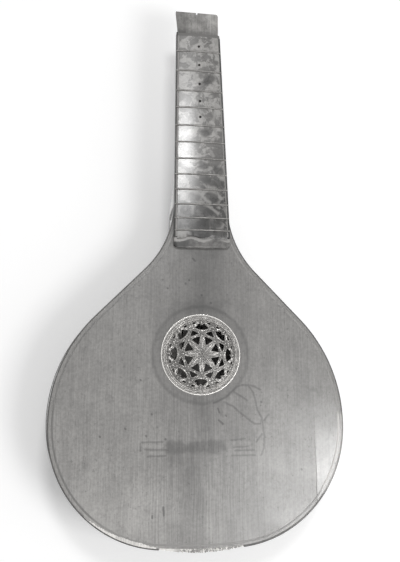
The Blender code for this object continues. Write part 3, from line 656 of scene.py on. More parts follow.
# %% Plain woods: black, pale and bare
def plain_wood(name, tone, rough, worn_tone, coat, spacing=0.8, carried=False, hollow_shade_and_dirt=0.6):
    made, tree, shader = material(name)
    lay = lay_vector(tree, carried)
    grain = grain_of(tree, lay, spacing, 0.03)
    grime_and_shade = grime_and_shade_of(tree, 6.0, 18.0, 1.5)
    colour = mixed(tree, grain["Fine"], grey(tone * 0.82), grey(tone * 1.12))
    colour = stained(tree, colour, grain["Broad"], 0.84)
    colour = stained(tree, colour, grain["Pores"], 0.72)
    colour = stained(tree, colour, grime_and_shade["Clouds"], 0.88)
    colour = stained(tree, colour, grime_and_shade["Specks"], 0.65)
    # Painted shade and dirt: darker where ambient occlusion finds hollows.
    colour = stained(tree, colour, grime_and_shade["Hollows"], hollow_shade_and_dirt)
    worn = wear_of(tree, 0.4, 500.0)
    colour = mixed(tree, worn, colour, grey(worn_tone))
    tree.links.new(colour, shader.inputs["Base Color"])
    tree.links.new(ramp(tree, grime_and_shade["Clouds"], 0.0, 1.0, rough, rough + 0.12),
                   shader.inputs["Roughness"])
    shader.inputs["Coat Weight"].default_value = coat
    shader.inputs["Coat Roughness"].default_value = 0.3
    bumped(tree, shader, maths(tree, "SUBTRACT", grain["Fine"], grain["Pores"]), 0.08, 0.5)
    return made


BLACK_WOOD = plain_wood("black_wood", 0.035, 0.38, 0.12, 0.2)
BARE_WOOD = plain_wood("bare_wood", 0.36, 0.75, 0.45, 0.0)
BINDING_WOOD = plain_wood("binding_wood", 0.10, 0.34, 0.18, 0.4)
print("plain woods: 3")


def reopened(made):
    """A finish to be painted over: its tree, its shader and its colour so far."""
    shader = made.node_tree.nodes["Principled BSDF"]
    return made.node_tree, shader, shader.inputs["Base Color"].links[0].from_socket


def glare_along_wing(made, tone):
    """Paint a finish pale along the narrow wing: painted glare, where the wing's gloss washes the
    edging out.
    """
    tree, shader, colour = reopened(made)
    place = add(tree, "ShaderNodeTexCoord").outputs["Object"]
    # Painted glare: the edging is painted pale where the glare on the wing falls.
    paler = mark(tree, RECT, place, 8.0, centre=(134, -94), half_size=(17, 34))
    colour = mixed(tree, maths(tree, "MULTIPLY", paler, 0.9), colour, grey(tone))
    tree.links.new(colour, shader.inputs["Base Color"])
    return made


def line_wood():
    """The pale line, dirty at the lower right."""
    made = plain_wood("dull_line", 0.30, 0.5, 0.5, 0.1)
    tree, shader, colour = reopened(made)
    place = add(tree, "ShaderNodeTexCoord").outputs["Object"]
    dirty = mark(tree, RECT, place, 20.0, centre=(70, -155), half_size=(25, 25))
    tree.links.new(stained(tree, colour, dirty, 0.55), shader.inputs["Base Color"])
    return made


def purfling_wood():
    """The dark band, painted paler towards the treble side where glare lies on the board, and scraped
    off round the tail.
    """
    made = plain_wood("purfling_wood", 0.25, 0.42, 0.28, 0.5)
    tree, shader, colour = reopened(made)
    place = add(tree, "ShaderNodeTexCoord").outputs["Object"]
    parts = add(tree, "ShaderNodeSeparateXYZ", {0: place})
    # Painted glare: the band is painted paler towards the treble side.
    paler_to_treble = ramp(tree, parts.outputs[0], -120 * MM, 90 * MM, 0.78, 1.20)
    colour = mixed(tree, 1.0, colour, paler_to_treble, "MULTIPLY")
    tail = ramp(tree, parts.outputs[1], ROSE.y - 138 * MM, ROSE.y - 165 * MM)
    scraped = maths(tree, "MULTIPLY", tail, ramp(tree, parts.outputs[0], 62 * MM, 40 * MM))
    colour = mixed(tree, maths(tree, "MULTIPLY", scraped, 0.85), colour, grey(0.27))
    tree.links.new(colour, shader.inputs["Base Color"])
    return made


def neck_maple():
    """Maple with a painted highlight: a pale patch on the bass side of the heel, where its glossy side
    catches the light.
    """
    made = flamed_maple("neck_maple", 0.16, 0.34)
    tree, shader, colour = reopened(made)
    ragged = wobbled(tree, lay_vector(tree, True), 120.0, 8.0)
    parts = add(tree, "ShaderNodeSeparateXYZ", {0: ragged})
    beside = ramp(tree, parts.outputs[0], -16.0 * MM, -23.0 * MM)
    low = ramp(tree, parts.outputs[2], -4.0 * MM, -12.0 * MM)
    near = ramp(tree, parts.outputs[1], 172.0 * MM, 140.0 * MM)
    patch_zone = maths(tree, "MULTIPLY", beside, maths(tree, "MULTIPLY", low, near))
    patchy = ramp(tree, noise(tree, ragged, 70.0, 5.0, 0.65), 0.36, 0.62, 0.25, 0.9)
    # Painted highlight: the bass side of the heel is painted pale.
    colour = mixed(tree, maths(tree, "MULTIPLY", patch_zone, patchy), colour, grey(0.48))
    tree.links.new(colour, shader.inputs["Base Color"])
    return made


DULL_LINE = glare_along_wing(line_wood(), 0.60)
PURFLING_WOOD = glare_along_wing(purfling_wood(), 0.60)
glare_along_wing(BINDING_WOOD, 0.20)
NECK_MAPLE = neck_maple()
print("painted over:", PURFLING_WOOD.name, NECK_MAPLE.name)


# %% Head block, darker where hands and the tuning machine were, with painted shadow at its base by the fingerboard
# Centre, half size, softness and tone of each mark. The two at the base, next to the fingerboard's
# end, are painted shadow; the rest are stains.
HEAD_STAINS_AND_SHADOW = (((-23, 352), (5, 14), 9.0, 0.66), ((-3, 342), (24, 1.5), 3.0, 0.78),
               ((8, 346), (6, 3), 6.0, 0.80), ((-8, 357), (9, 2), 7.0, 0.85),
               ((14, 360), (3, 4), 7.0, 1.20))


def head_wood():
    made = plain_wood("head_wood", 0.35, 0.6, 0.40, 0.05, spacing=1.6)
    tree, shader, colour = reopened(made)
    place = add(tree, "ShaderNodeTexCoord").outputs["Object"]
    loose = wobbled(tree, place, 150.0, 8.0)
    for centre, half_size, soft, tone in HEAD_STAINS_AND_SHADOW:
        spread_mask = mark(tree, RECT, loose, soft, centre=centre, half_size=half_size)
        colour = stained(tree, colour, spread_mask, tone)
    blotches = ramp(tree, noise(tree, place, 170.0, 5.0, 0.7), 0.35, 0.65, 0.78, 1.15)
    colour = mixed(tree, 1.0, colour, blotches, "MULTIPLY")
    tree.links.new(colour, shader.inputs["Base Color"])
    return made


HEAD_WOOD = head_wood()
print("head finish:", HEAD_WOOD.name)

# %% [markdown]
# ## Mottled shell veneer
#
# The fingerboard is faced with a shell-like veneer, clouded light and dark and polished like glass.
# Noise that is bent by other noise gives the clouds. A few larger wisps and dark pools are placed
# where they catch the eye. The veneer is darker towards the body, where it is less rubbed.

# %% Clouded veneer
WISPS = (((4.7, 165.7), (0.8, 163.2), (0.2, 159.5), (4, 156.5), (8.5, 153.8)),
         ((5.5, 151.5), (10.9, 147.2), (16.5, 142.5)), ((18.8, 160.5), (20, 158)),
         ((9.0, 209), (11.5, 203)), ((12.5, 234), (15.5, 228.5)), ((-10, 148), (-9.5, 142)),
         ((9, 190), (3, 187)), ((14, 249), (12.5, 243)))
POOLS = (((7, 160.5), (14, 158)), ((-1, 147), (6, 144)), ((0, 131), (17, 132)),
         ((-8, 122.5), (4, 121), (12, 123), (22, 122)),
         ((2, 177), (18, 174)), ((2, 228), (4, 227)), ((5, 285), (10, 289)),
         ((-12, 159), (-6, 158)), ((0, 193), (3, 192)), ((15, 189), (19, 188)))


def shell_veneer():
    made, tree, shader = material("shell_veneer")
    place = add(tree, "ShaderNodeTexCoord").outputs["Object"]
    bent = wobbled(tree, wobbled(tree, place, 25.0, 26.0), 90.0, 9.0)
    clouds = ramp(tree, noise(tree, bent, 105.0, 8.0, 0.66), 0.46, 0.56)
    haze = ramp(tree, noise(tree, bent, 260.0, 4.0, 0.65), 0.35, 0.65)
    height = add(tree, "ShaderNodeSeparateXYZ", {0: place}).outputs[1]
    paler = ramp(tree, height, (ROSE.y + 150 * MM), (ROSE.y + 215 * MM))
    dark = mixed(tree, paler, grey(0.050), grey(0.130))
    light = mixed(tree, paler, grey(0.175), grey(0.280))
    colour = mixed(tree, clouds, dark, light)
    colour = stained(tree, colour, haze, 1.30)
    curled = wobbled(tree, place, 120.0, 4.0)
    pools = soft_edge(tree, nearest_of(tree, curled, POOLS, 3.0), 3.0)
    colour = mixed(tree, maths(tree, "MULTIPLY", pools, 0.75), colour, grey(0.045))
    wisps = soft_edge(tree, nearest_of(tree, curled, WISPS, 0.9), 1.6)
    colour = mixed(tree, maths(tree, "MULTIPLY", wisps, 0.85), colour, grey(0.26))
    dimmer = mark(tree, RECT, curled, 18.0, centre=(-14, 132), half_size=(12, 7))
    colour = stained(tree, colour, dimmer, 0.43)
    scuffed = mark(tree, RECT, curled, 5.0, centre=(-20, 120), half_size=(4, 3))
    colour = mixed(tree, maths(tree, "MULTIPLY", scuffed, 0.8), colour, grey(0.30))
    grime_and_shade = grime_and_shade_of(tree, 1.5, 20.0, 1.0)
    colour = stained(tree, colour, grime_and_shade["Specks"], 0.7)
    # Painted shade and dirt: darker where ambient occlusion finds hollows.
    colour = stained(tree, colour, grime_and_shade["Hollows"], 0.6)
    worn = wear_of(tree, 0.5, 700.0)
    colour = mixed(tree, worn, colour, grey(0.32))
    tree.links.new(colour, shader.inputs["Base Color"])
    tree.links.new(ramp(tree, grime_and_shade["Clouds"], 0.0, 1.0, 0.26, 0.38), shader.inputs["Roughness"])
    tree.links.new(ramp(tree, height, ROSE.y + 138 * MM, ROSE.y + 156 * MM, 0.45, 0.8),
                   shader.inputs["Coat Weight"])
    shader.inputs["Coat Roughness"].default_value = 0.2
    bumped(tree, shader, noise(tree, place, 150.0, 2.0), 0.10, 0.3)
    return made


SHELL = shell_veneer()
print("veneer:", SHELL.name)

# %% [markdown]
# ## Metal and bone
#
# The rose is thin cast and pierced metal, once gilt. Its high parts sparkle with painted highlights,
# near-white patches in the colour, and its hollows are dark with old dirt and painted shade, which
# the grime group finds by itself. The frets are the same metal, rubbed duller by fingers. The hitch
# pins at the tail are turned bone.

# %% Worn metal and bone
def worn_metal(name, bright, dull, rough, grain_size, reach):
    """Cast metal. An attribute says where it gets a near-white painted highlight, over 0, and where it
    is dirty, under 0.
    """
    made, tree, shader = material(name)
    rub = add(tree, "ShaderNodeAttribute", attribute_name="rub").outputs["Fac"]
    place = add(tree, "ShaderNodeTexCoord").outputs["Object"]
    grime_and_shade = grime_and_shade_of(tree, reach, 8.0, 0.8)
    cast = noise(tree, place, 0.6 / (grain_size * MM), 4.0, 0.6)
    colour = mixed(tree, ramp(tree, cast, 0.35, 0.65), grey(dull), grey(bright))
    colour = mixed(tree, maths(tree, "MULTIPLY", grime_and_shade["Clouds"], 0.35), colour, grey(dull * 0.6))
    # Old dirt and painted shade: near black where ambient occlusion finds hollows.
    colour = mixed(tree, maths(tree, "MULTIPLY", grime_and_shade["Hollows"], 0.9), colour, grey(0.03))
    crumbs = ramp(tree, noise(tree, place, 1400.0, 3.0), 0.40, 0.56)
    sooty = maths(tree, "MULTIPLY", ramp(tree, rub, 0.0, -1.0), crumbs)
    colour = mixed(tree, maths(tree, "MULTIPLY", sooty, 0.65), colour, grey(0.06))
    # Edge wear, partly a painted highlight: the rubbed edges go pale.
    worn = wear_of(tree, 0.25, 900.0)
    colour = mixed(tree, worn, colour, grey(min(0.95, bright * 1.6)))
    # Painted highlight: where the attribute is high, the colour goes near white and less metallic, so
    # the raised parts sparkle.
    uneven = ramp(tree, noise(tree, place, 230.0, 3.0), 0.40, 0.55, 0.25, 1.0)
    uneven = maths(tree, "MULTIPLY", uneven, ramp(tree, crumbs, 0.0, 1.0, 0.5, 1.0))
    sheen = maths(tree, "MULTIPLY", ramp(tree, rub, 0.15, 0.8), uneven)
    sheen = maths(tree, "MAXIMUM", sheen, ramp(tree, rub, 0.88, 0.97))
    colour = mixed(tree, sheen, colour, grey(0.97))
    tree.links.new(colour, shader.inputs["Base Color"])
    tree.links.new(ramp(tree, sheen, 0.0, 1.0, 1.0, 0.15), shader.inputs["Metallic"])
    dirt = maths(tree, "MAXIMUM", grime_and_shade["Hollows"], maths(tree, "MULTIPLY", grime_and_shade["Clouds"], 0.4))
    dirt = maths(tree, "SUBTRACT", maths(tree, "MAXIMUM", dirt, sooty), sheen)
    tree.links.new(ramp(tree, dirt, -1.0, 1.0, rough - 0.2, rough + 0.3),
                   shader.inputs["Roughness"])
    bumped(tree, shader, cast, grain_size * 0.6, 0.9)
    return made


def turned_bone():
    made, tree, shader = material("turned_bone")
    place = add(tree, "ShaderNodeTexCoord").outputs["Object"]
    grime_and_shade = grime_and_shade_of(tree, 2.0, 6.0, 0.6)
    streaks = ramp(tree, noise(tree, vectors(tree, "MULTIPLY", place, (1.0, 0.1, 1.0)), 1500.0),
                   0.4, 0.7)
    colour = mixed(tree, streaks, grey(0.62), grey(0.52))
    colour = stained(tree, colour, grime_and_shade["Clouds"], 0.88)
    # Painted shade and dirt: greyer where ambient occlusion finds hollows.
    colour = mixed(tree, grime_and_shade["Hollows"], colour, grey(0.16))
    tree.links.new(colour, shader.inputs["Base Color"])
    tree.links.new(ramp(tree, grime_and_shade["Clouds"], 0.0, 1.0, 0.32, 0.45), shader.inputs["Roughness"])
    shader.inputs["Coat Weight"].default_value = 0.2
    bumped(tree, shader, streaks, 0.02, 0.3)
    return made


GILT = worn_metal("old_gilt", 0.56, 0.26, 0.33, 0.5, 1.6)
FRET_BRASS = worn_metal("fret_brass", 0.44, 0.27, 0.48, 0.4, 1.0)
BONE = turned_bone()
print("metal and bone:", GILT.name, FRET_BRASS.name, BONE.name)


# %% [markdown]
# ## Geometry Nodes for what follows a path
#
# The edging, the frets and the borders of the fingerboard are all the same thing: a strip of even
# section laid along a line. One Geometry Nodes tree makes them. It takes a plain chain of points,
# turns it into a curve and sweeps a rounded rectangle along it, upright all the way. A second tree
# sweeps a circle whose size follows an attribute, which is how a lathe works, and makes the pins.

# %% Trees for strips and turned work
def geometry_tree(name, inputs):
    tree = bpy.data.node_groups.new(name, "GeometryNodeTree")
    face = tree.interface
    face.new_socket("Geometry", in_out="INPUT", socket_type="NodeSocketGeometry")
    for label, kind, value in inputs:
        socket = face.new_socket(label, in_out="INPUT", socket_type=kind)
        if value is not None:
            socket.default_value = value
    face.new_socket("Finish", in_out="INPUT", socket_type="NodeSocketMaterial")
    face.new_socket("Geometry", in_out="OUTPUT", socket_type="NodeSocketGeometry")
    return tree, tree.nodes.new("NodeGroupInput").outputs


def close_tree(tree, shape, finish):
    real = add(tree, "GeometryNodeRealizeInstances", {"Geometry": shape}).outputs[0]
    done = add(tree, "GeometryNodeSetMaterial", {"Geometry": real, "Material": finish}).outputs[0]
    tree.links.new(done, tree.nodes.new("NodeGroupOutput").inputs[0])


STRIP, into = geometry_tree("strip along a line", [("Width", FLOAT, 0.001), ("Height", FLOAT, 0.001),
                                                   ("Corner", FLOAT, 0.0001)])
chain = add(STRIP, "GeometryNodeMeshToCurve", {"Mesh": into["Geometry"]}).outputs[0]
upright = add(STRIP, "GeometryNodeSetCurveNormal", {"Curve": chain}, mode="Z_UP").outputs[0]
section = add(STRIP, "GeometryNodeCurvePrimitiveQuadrilateral",
              {"Width": into["Width"], "Height": into["Height"]}, mode="RECTANGLE").outputs[0]
eased = add(STRIP, "GeometryNodeFilletCurve", {"Curve": section, "Radius": into["Corner"],
                                               "Count": 3, "Limit Radius": True},
            mode="POLY").outputs[0]
swept = add(STRIP, "GeometryNodeCurveToMesh", {"Curve": upright, "Profile Curve": eased,
                                               "Fill Caps": True}).outputs[0]
close_tree(STRIP, swept, into["Finish"])

TURNED, into = geometry_tree("turned along a line", [("Sides", "NodeSocketInt", 24)])
chain = add(TURNED, "GeometryNodeMeshToCurve", {"Mesh": into["Geometry"]}).outputs[0]
size = add(TURNED, "GeometryNodeInputNamedAttribute", {"Name": "girth"},
           data_type="FLOAT").outputs[0]
circle = add(TURNED, "GeometryNodeCurvePrimitiveCircle", {"Resolution": into["Sides"],
                                                          "Radius": 1.0}, mode="RADIUS").outputs[0]
lathe = add(TURNED, "GeometryNodeCurveToMesh", {"Curve": chain, "Profile Curve": circle,
                                                "Scale": size, "Fill Caps": True}).outputs[0]
close_tree(TURNED, lathe, into["Finish"])


def chain_mesh(name, chains, girths=None):
    """An object of bare point chains, in millimetres from the rose."""
    mesh = bpy.data.meshes.new(name)
    points, edges = [], []
    for line in chains:
        start = len(points)
        points += [spot(*point) for point in line]
        edges += [(start + index, start + index + 1) for index in range(len(line) - 1)]
    mesh.from_pydata(points, edges, [])
    if girths is not None:
        attribute = mesh.attributes.new("girth", "FLOAT", "POINT")
        attribute.data.foreach_set("value", [value * MM for value in girths])
    item = bpy.data.objects.new(name, mesh)
    bpy.context.scene.collection.objects.link(item)
    return item


def grown(item, tree, **values):
    """Run a Geometry Nodes tree on an object for good. Sizes are in metres."""
    change = item.modifiers.new(tree.name, "NODES")
    change.node_group = tree
    for socket in tree.interface.items_tree:
        key = socket.name.lower().replace(" ", "_")
        if socket.in_out == "INPUT" and key in values:
            change[socket.identifier] = values[key]
    bake_modifiers(item)
    bm = bmesh.new()
    bm.from_mesh(item.data)
    bmesh.ops.remove_doubles(bm, verts=bm.verts, dist=MM / 1000)
    bmesh.ops.recalc_face_normals(bm, faces=bm.faces)
    bm.to_mesh(item.data)
    bm.free()
    return item


def strip(name, chains, width, height, corner, finish, stands_for):
    item = grown(chain_mesh(name, chains), STRIP, width=width * MM, height=height * MM,
                 corner=corner * MM, finish=finish)
    return settle(item, name, None, stands_for)


print("trees:", STRIP.name, "and", TURNED.name)

# %% [markdown]
# ## Soundboard
#
# The board is two wide halves, glued edge to edge on a joint that has nearly vanished, and a narrow
# wing on the treble side whose joint has opened. So it is made as two plates: the whole board with
# the round hole sawn out, and the wing. The wing lies a hair lower at its outer edge, and its joint
# is open at the tail and closed further up.

# %% Board and wing
BOARD_THICK = 2.8
BINDING_WIDE = 1.3
STRINGING_WIDE = 0.8
RIM = BINDING_WIDE + STRINGING_WIDE
WING_JOINT_X = 116.0
WING_SLOPE = 0.012
WING_OPEN_Y = -74.0
WING_OPEN = 0.55
HOLE_RADIUS = 36.3


def clipped(outline, x, keep_right):
    kept = []
    for start, end in zip(outline, outline[1:] + outline[:1]):
        start_in = (start[0] > x) == keep_right
        if start_in:
            kept.append(start)
        if start_in != ((end[0] > x) == keep_right):
            part = (x - start[0]) / (end[0] - start[0])
            kept.append((x, start[1] + (end[1] - start[1]) * part))
    return kept


def plate(name, outline, low, high, slope=None):
    """An upright plate from an outline; slope gives the top's height at a point."""
    top = slope or (lambda x, y: high)
    sections = [[(x, y, low) for x, y in outline], [(x, y, top(x, y)) for x, y in outline]]
    return raw_mesh(name, *loft(sections))


def circle_of(radius, steps, x=0.0, y=0.0):
    turn = 2 * math.pi / steps
    return [(x + radius * math.cos(turn * i), y + radius * math.sin(turn * i))
            for i in range(steps)]


rim_line = [tuple(edge(run, RIM)[:2]) for run in spread(-HALF_RUN, 0.0, 2.5)[:-1]]
rim_line += [tuple(edge(run, RIM)[:2]) for run in spread(0.0, HALF_RUN, 2.5)]
board = plate("soundboard", clipped(rim_line, WING_JOINT_X, False), -BOARD_THICK, 0.0)
hole = plate("hole", circle_of(HOLE_RADIUS, 128), -2 * BOARD_THICK, BOARD_THICK)
cut(board, hole)
settle(board, "soundboard", OLD_SPRUCE, ["soundboard_bass", "soundboard_treble"])
wing_rim = sorted((y, x) for x, y in clipped(rim_line, WING_JOINT_X, True))
wing_low, wing_high = wing_rim[0][0], wing_rim[-1][0]
rim_heights = [y for y, _ in wing_rim]
rim_places = [x for _, x in wing_rim]


def wing_section(y, columns=8):
    """Across the wing: level where the joint is tight, leaning out and down where it is open."""
    open_share = min(1.0, max(0.0, (WING_OPEN_Y - y) / (WING_OPEN_Y - wing_low)))
    left = WING_JOINT_X + WING_OPEN * open_share
    right = max(left + 0.02, np.interp(y, rim_heights, rim_places))
    slope = WING_SLOPE * min(1.0, open_share * 3.0)
    across = [left + (right - left) * column / columns for column in range(columns + 1)]
    under = [(x, y, -BOARD_THICK) for x in across]
    return under + [(x, y, -(x - WING_JOINT_X) * slope) for x in reversed(across)]


wing = raw_mesh("soundboard_wing_piece",
                *loft([wing_section(y) for y in spread(wing_low, wing_high, 3.0)]))
settle(wing, "soundboard_wing_piece", WING_SPRUCE, ["soundboard_wing"])
print("soundboard faces:", len(board.data.polygons), "wing faces:", len(wing.data.polygons))

# %% [markdown]
# ## Edging
#
# A thin black binding guards the edge, with a pale line inside it. A little further in, a dark band
# is let into the wood. All three are strips along the outline. The binding has come off at the tail,
# where the edge is now chipped and pale, and to the left of that gap the varnish has been scraped
# away down to white wood.

# %% Binding, pale line and dark band
TAIL_GAP_BASS = 39.5
TAIL_GAP_TREBLE = 42.2
PURFLING_MIDDLE = 4.9
PURFLING_WIDE = 1.8
PURFLING_DEEP = 0.9
PROUD = 0.03


def edge_chain(start, end, inset, z, step=2.5):
    return [edge(run, inset, z) for run in spread(start, end, step)]


for side, name, gap in ((-1, "bass", TAIL_GAP_BASS), (1, "treble", TAIL_GAP_TREBLE)):
    strip("binding_strip_" + name,
          [edge_chain(side * gap, side * HALF_RUN, BINDING_WIDE / 2, -BOARD_THICK / 2)],
          BINDING_WIDE, BOARD_THICK, 0.22, BINDING_WOOD, ["binding_" + name])
    strip("pale_strip_" + name,
          [edge_chain(side * gap, side * HALF_RUN, BINDING_WIDE + STRINGING_WIDE / 2,
                      -BOARD_THICK / 2)],
          STRINGING_WIDE, BOARD_THICK, 0.08, DULL_LINE, ["stringing_" + name])
    strip("dark_band_" + name,
          [edge_chain(side * 0.2, side * HALF_RUN, PURFLING_MIDDLE,
                      PROUD - PURFLING_DEEP / 2)],
          PURFLING_WIDE, PURFLING_DEEP, 0.05, PURFLING_WOOD, ["purfling_" + name])
print("edging strips: 6")

# %% [markdown]
# ### The chipped tail edge
#
# Where the binding is lost, the ledge that held it is broken in small steps. The break is a chain of
# random bites, the same on each run because the random numbers start from a fixed seed.

# %% Chipped ledge and scraped edge
SCRAPED_WOOD = plain_wood("scraped_wood", 0.88, 0.55, 0.95, 0.15, hollow_shade_and_dirt=0.75)


def chipped_wood():
    """Wood of the board's tone with white chips."""
    made = plain_wood("chipped_wood", 0.30, 0.6, 0.85, 0.1, hollow_shade_and_dirt=0.75)
    tree, shader, colour = reopened(made)
    place = add(tree, "ShaderNodeTexCoord").outputs["Object"]
    across = add(tree, "ShaderNodeSeparateXYZ", {0: place}).outputs[0]
    chips = ramp(tree, noise(tree, place, 520.0, 4.0, 0.7), 0.50, 0.58)
    white = maths(tree, "MAXIMUM", chips, ramp(tree, across, -14 * MM, -30 * MM))
    colour = mixed(tree, maths(tree, "MULTIPLY", white, 0.9), colour, grey(0.88))
    tree.links.new(colour, shader.inputs["Base Color"])
    return made


CHIPPED_WOOD = chipped_wood()
SCRAPE_START = 42.0
SCRAPE_END = 118.0
SCRAPE_WIDE = 3.1
SCRAPE_RAGGED = 0.5
LEDGE_BULGE = 2.0
chips = np.random.default_rng(7)
scrape = np.random.default_rng(5)


def ledge_bulge(run):
    """How far the broken ledge stands out past the outline, most in the middle of the gap."""
    share = (run + TAIL_GAP_BASS) / (TAIL_GAP_BASS + TAIL_GAP_TREBLE)
    return LEDGE_BULGE * math.sin(math.pi * min(1.0, max(0.0, share)))


def ragged_ledge():
    sections = []
    for run in spread(-TAIL_GAP_BASS + 0.2, TAIL_GAP_TREBLE - 0.2, 0.7):
        bulge = ledge_bulge(run)
        bite = 0.25 + 1.1 * chips.random() ** 2.5 - bulge
        drop = 0.05 + 0.6 * chips.random() ** 2
        sections.append([edge(run, RIM - 0.05, -BOARD_THICK),
                         edge(run, bite + 0.3 * bulge, -BOARD_THICK),
                         edge(run, bite, -drop - 0.3), edge(run, bite + 0.3, -drop),
                         edge(run, RIM - 0.05, 0.01 - drop * 0.2)])
    return loft(sections)


ledge = raw_mesh("chipped_ledge", *ragged_ledge())
settle(ledge, "chipped_ledge", CHIPPED_WOOD, [], math.radians(20))
sections = []
for run in spread(-SCRAPE_END, -SCRAPE_START, 0.8):
    share = (SCRAPE_END + run) / (SCRAPE_END - SCRAPE_START)
    wide = SCRAPE_WIDE * min(1.0, share * 1.8) ** 0.8 * min(1.0, 0.3 + (1.0 - share) * 3.5)
    wide += scrape.uniform(-SCRAPE_RAGGED, SCRAPE_RAGGED)
    outer, inner = BINDING_WIDE - 0.05, BINDING_WIDE + max(0.3, wide)
    sections.append([edge(run, outer, -0.3), edge(run, outer, 0.0), edge(run, inner, 0.05),
                     edge(run, inner, -0.3)])
scraped = raw_mesh("scraped_edge", *loft(sections))
settle(scraped, "scraped_edge", SCRAPED_WOOD, [])
print("ledge faces:", len(ledge.data.polygons))

# %% [markdown]
# ## Ribs and back
#
# The ribs are two thin bent boards. Their wood runs lengthwise, so each point keeps its run and its
# height as its place on the unrolled board, and the flame follows the bend. The back is flat and a
# little bigger than the top, so the ribs lean out to it, except at the throat.

# %% Bent ribs and flat back
# The bare inside of the back is paler than the bare wood: partly painted light, so that the shaded
# openings of the rose read lighter.
PALE_INSIDE = plain_wood("pale_inside", 0.58, 0.8, 0.6, 0.0)
DEPTH = -FLOOR_Z
RIB_INSET = 0.5
RIB_THICK = 2.0
BACK_THICK = 2.8
BACK_SPREAD = 3.4
BACK_DRAW = 4.5
DRAW_START_Y = 20.0
DRAW_END_Y = 150.0


def leaning_edge(run, inset, z):
    """As edge, on the side that leans from the top's outline to the back's."""
    y = edge(run, 0.0).y
    share = min(1.0, max(0.0, (y - DRAW_START_Y) / (DRAW_END_Y - DRAW_START_Y)))
    share = share * share * (3.0 - 2.0 * share)
    lean = BACK_SPREAD * (1.0 - share) - BACK_DRAW * share
    return edge(run, inset + lean * z / DEPTH, z)


def rib(name, side):
    low, high = BACK_THICK - DEPTH, -BOARD_THICK
    levels = spread(low, high, 6.0)
    sections, lay = [], []
    for run in spread(side * 0.02, side * HALF_RUN, 3.0):
        row = [leaning_edge(run, RIB_INSET, z) for z in levels]
        row += [leaning_edge(run, RIB_INSET + RIB_THICK, z) for z in reversed(levels)]
        sections.append(row)
        lay += [(point.z, run, side * 40.0) for point in row]
    piece = raw_mesh(name, *loft(sections), lay=lay)
    settle(piece, name, RIB_MAPLE, [name.replace("bent_rib", "rib")])
    return piece


for name, side in (("bent_rib_bass", -1), ("bent_rib_treble", 1)):
    print(name, "faces:", len(rib(name, side).data.polygons))
back_line = [tuple(leaning_edge(run, 0.0, -DEPTH)[:2]) for run in spread(-HALF_RUN, 0, 2.5)[:-1]]
back_line += [tuple(leaning_edge(run, 0.0, -DEPTH)[:2]) for run in spread(0, HALF_RUN, 2.5)]
for name, keep_right, side in (("bass", False, -1), ("treble", True, 1)):
    half = plate("back_half_" + name, clipped(back_line, side * 0.03, keep_right), -DEPTH,
                 BACK_THICK - DEPTH)
    soften(half, 0.5, 3)
    settle(half, "back_half_" + name, BACK_MAPLE, ["back_" + name])
inside_line = [(x * 0.97, y * 0.97) for x, y in back_line]
inside = plate("back_inside", inside_line, BACK_THICK - DEPTH - 0.5, BACK_THICK - DEPTH + 0.05)
settle(inside, "back_inside", PALE_INSIDE, [])
print("back halves: 2 and their bare inside")

# %% [markdown]
# ## Neck, heel and head
#
# The neck is one piece of maple. Its heel is as deep as the body and sweeps up into the round shaft.
# The plain block beyond the nut is what is left of the head. The neck is lofted through many cross
# sections: a flat top, round sides, and a foot that is square against the body.

# %% Neck and head
NUT_Y = 339.3
HEAD_TOP_Y = NUT_Y + 26.7
BOARD_END_Y = 107.3
BOARD_HALF_NUT = 23.2
BOARD_HALF_WIDENS = 5.7
SHAFT_DEEP = 18.0
HEAD_DEEP = 15.5
FOOT_LONG = 20.0
HEEL_LONG = 52.0
HEEL_CURVE = 2.6
FOOT_FLAT = 1.0 - (BACK_DRAW + RIB_INSET) / THROAT_HALF
FOOT_TIP_HALF = 1.5


def board_half(y):
    return BOARD_HALF_NUT + BOARD_HALF_WIDENS * (NUT_Y - y) / (NUT_Y - BOARD_END_Y)


def neck_section(y, left, right, deep, flat_share, squared=0.0, steps=14):
    """The round underside of the neck from its treble edge to its bass edge."""
    points = []
    for side, half in ((1, right), (-1, left)):
        flat = max(half * flat_share, FOOT_TIP_HALF)
        turns = range(steps + 1)
        for step in turns if side == 1 else reversed(turns):
            angle = math.pi / 2 * step / steps
            x = side * (flat + (half - flat) * math.cos(angle))
            points.append((x, y - x * math.tan(NECK_LEAN) * squared, -deep * math.sin(angle)))
    return points


def neck_piece(name, sections, finish, rounding):
    points, faces = loft([[tuple(leaned(point)) for point in row] for row in sections])
    lay = [point for row in sections for point in row]
    piece = raw_mesh(name, points, faces, lay=lay)
    soften(piece, rounding, 3)
    piece.data.materials.append(finish)
    return piece


FULL_DEEP = DEPTH - BACK_THICK - 0.1
foot_start = THROAT_Y + 0.1
sections = []
for share in [math.sin(step * math.pi / 28) for step in range(14)]:
    y = foot_start + FOOT_LONG * share
    half = board_half(y)
    sections.append(neck_section(y, half, half, FULL_DEEP,
                                 FOOT_FLAT * math.sqrt(1.0 - share * share), 1.0 - share))
for share in spread(0.04, 1.0, 0.04):
    y = foot_start + FOOT_LONG + HEEL_LONG * share
    half = board_half(y)
    deep = SHAFT_DEEP + (FULL_DEEP - SHAFT_DEEP) * (1.0 - share) ** HEEL_CURVE
    sections.append(neck_section(y, half, half, deep, 0.0))
for y in spread(foot_start + FOOT_LONG + HEEL_LONG, NUT_Y, 12.0)[1:]:
    half = board_half(y)
    share = max(0.0, (y - NUT_Y + 20.0) / 20.0)
    sections.append(neck_section(y, half, half, SHAFT_DEEP - (SHAFT_DEEP - HEAD_DEEP) * share, 0.0))
shaft = neck_piece("neck_shaft", sections, NECK_MAPLE, 0.35)

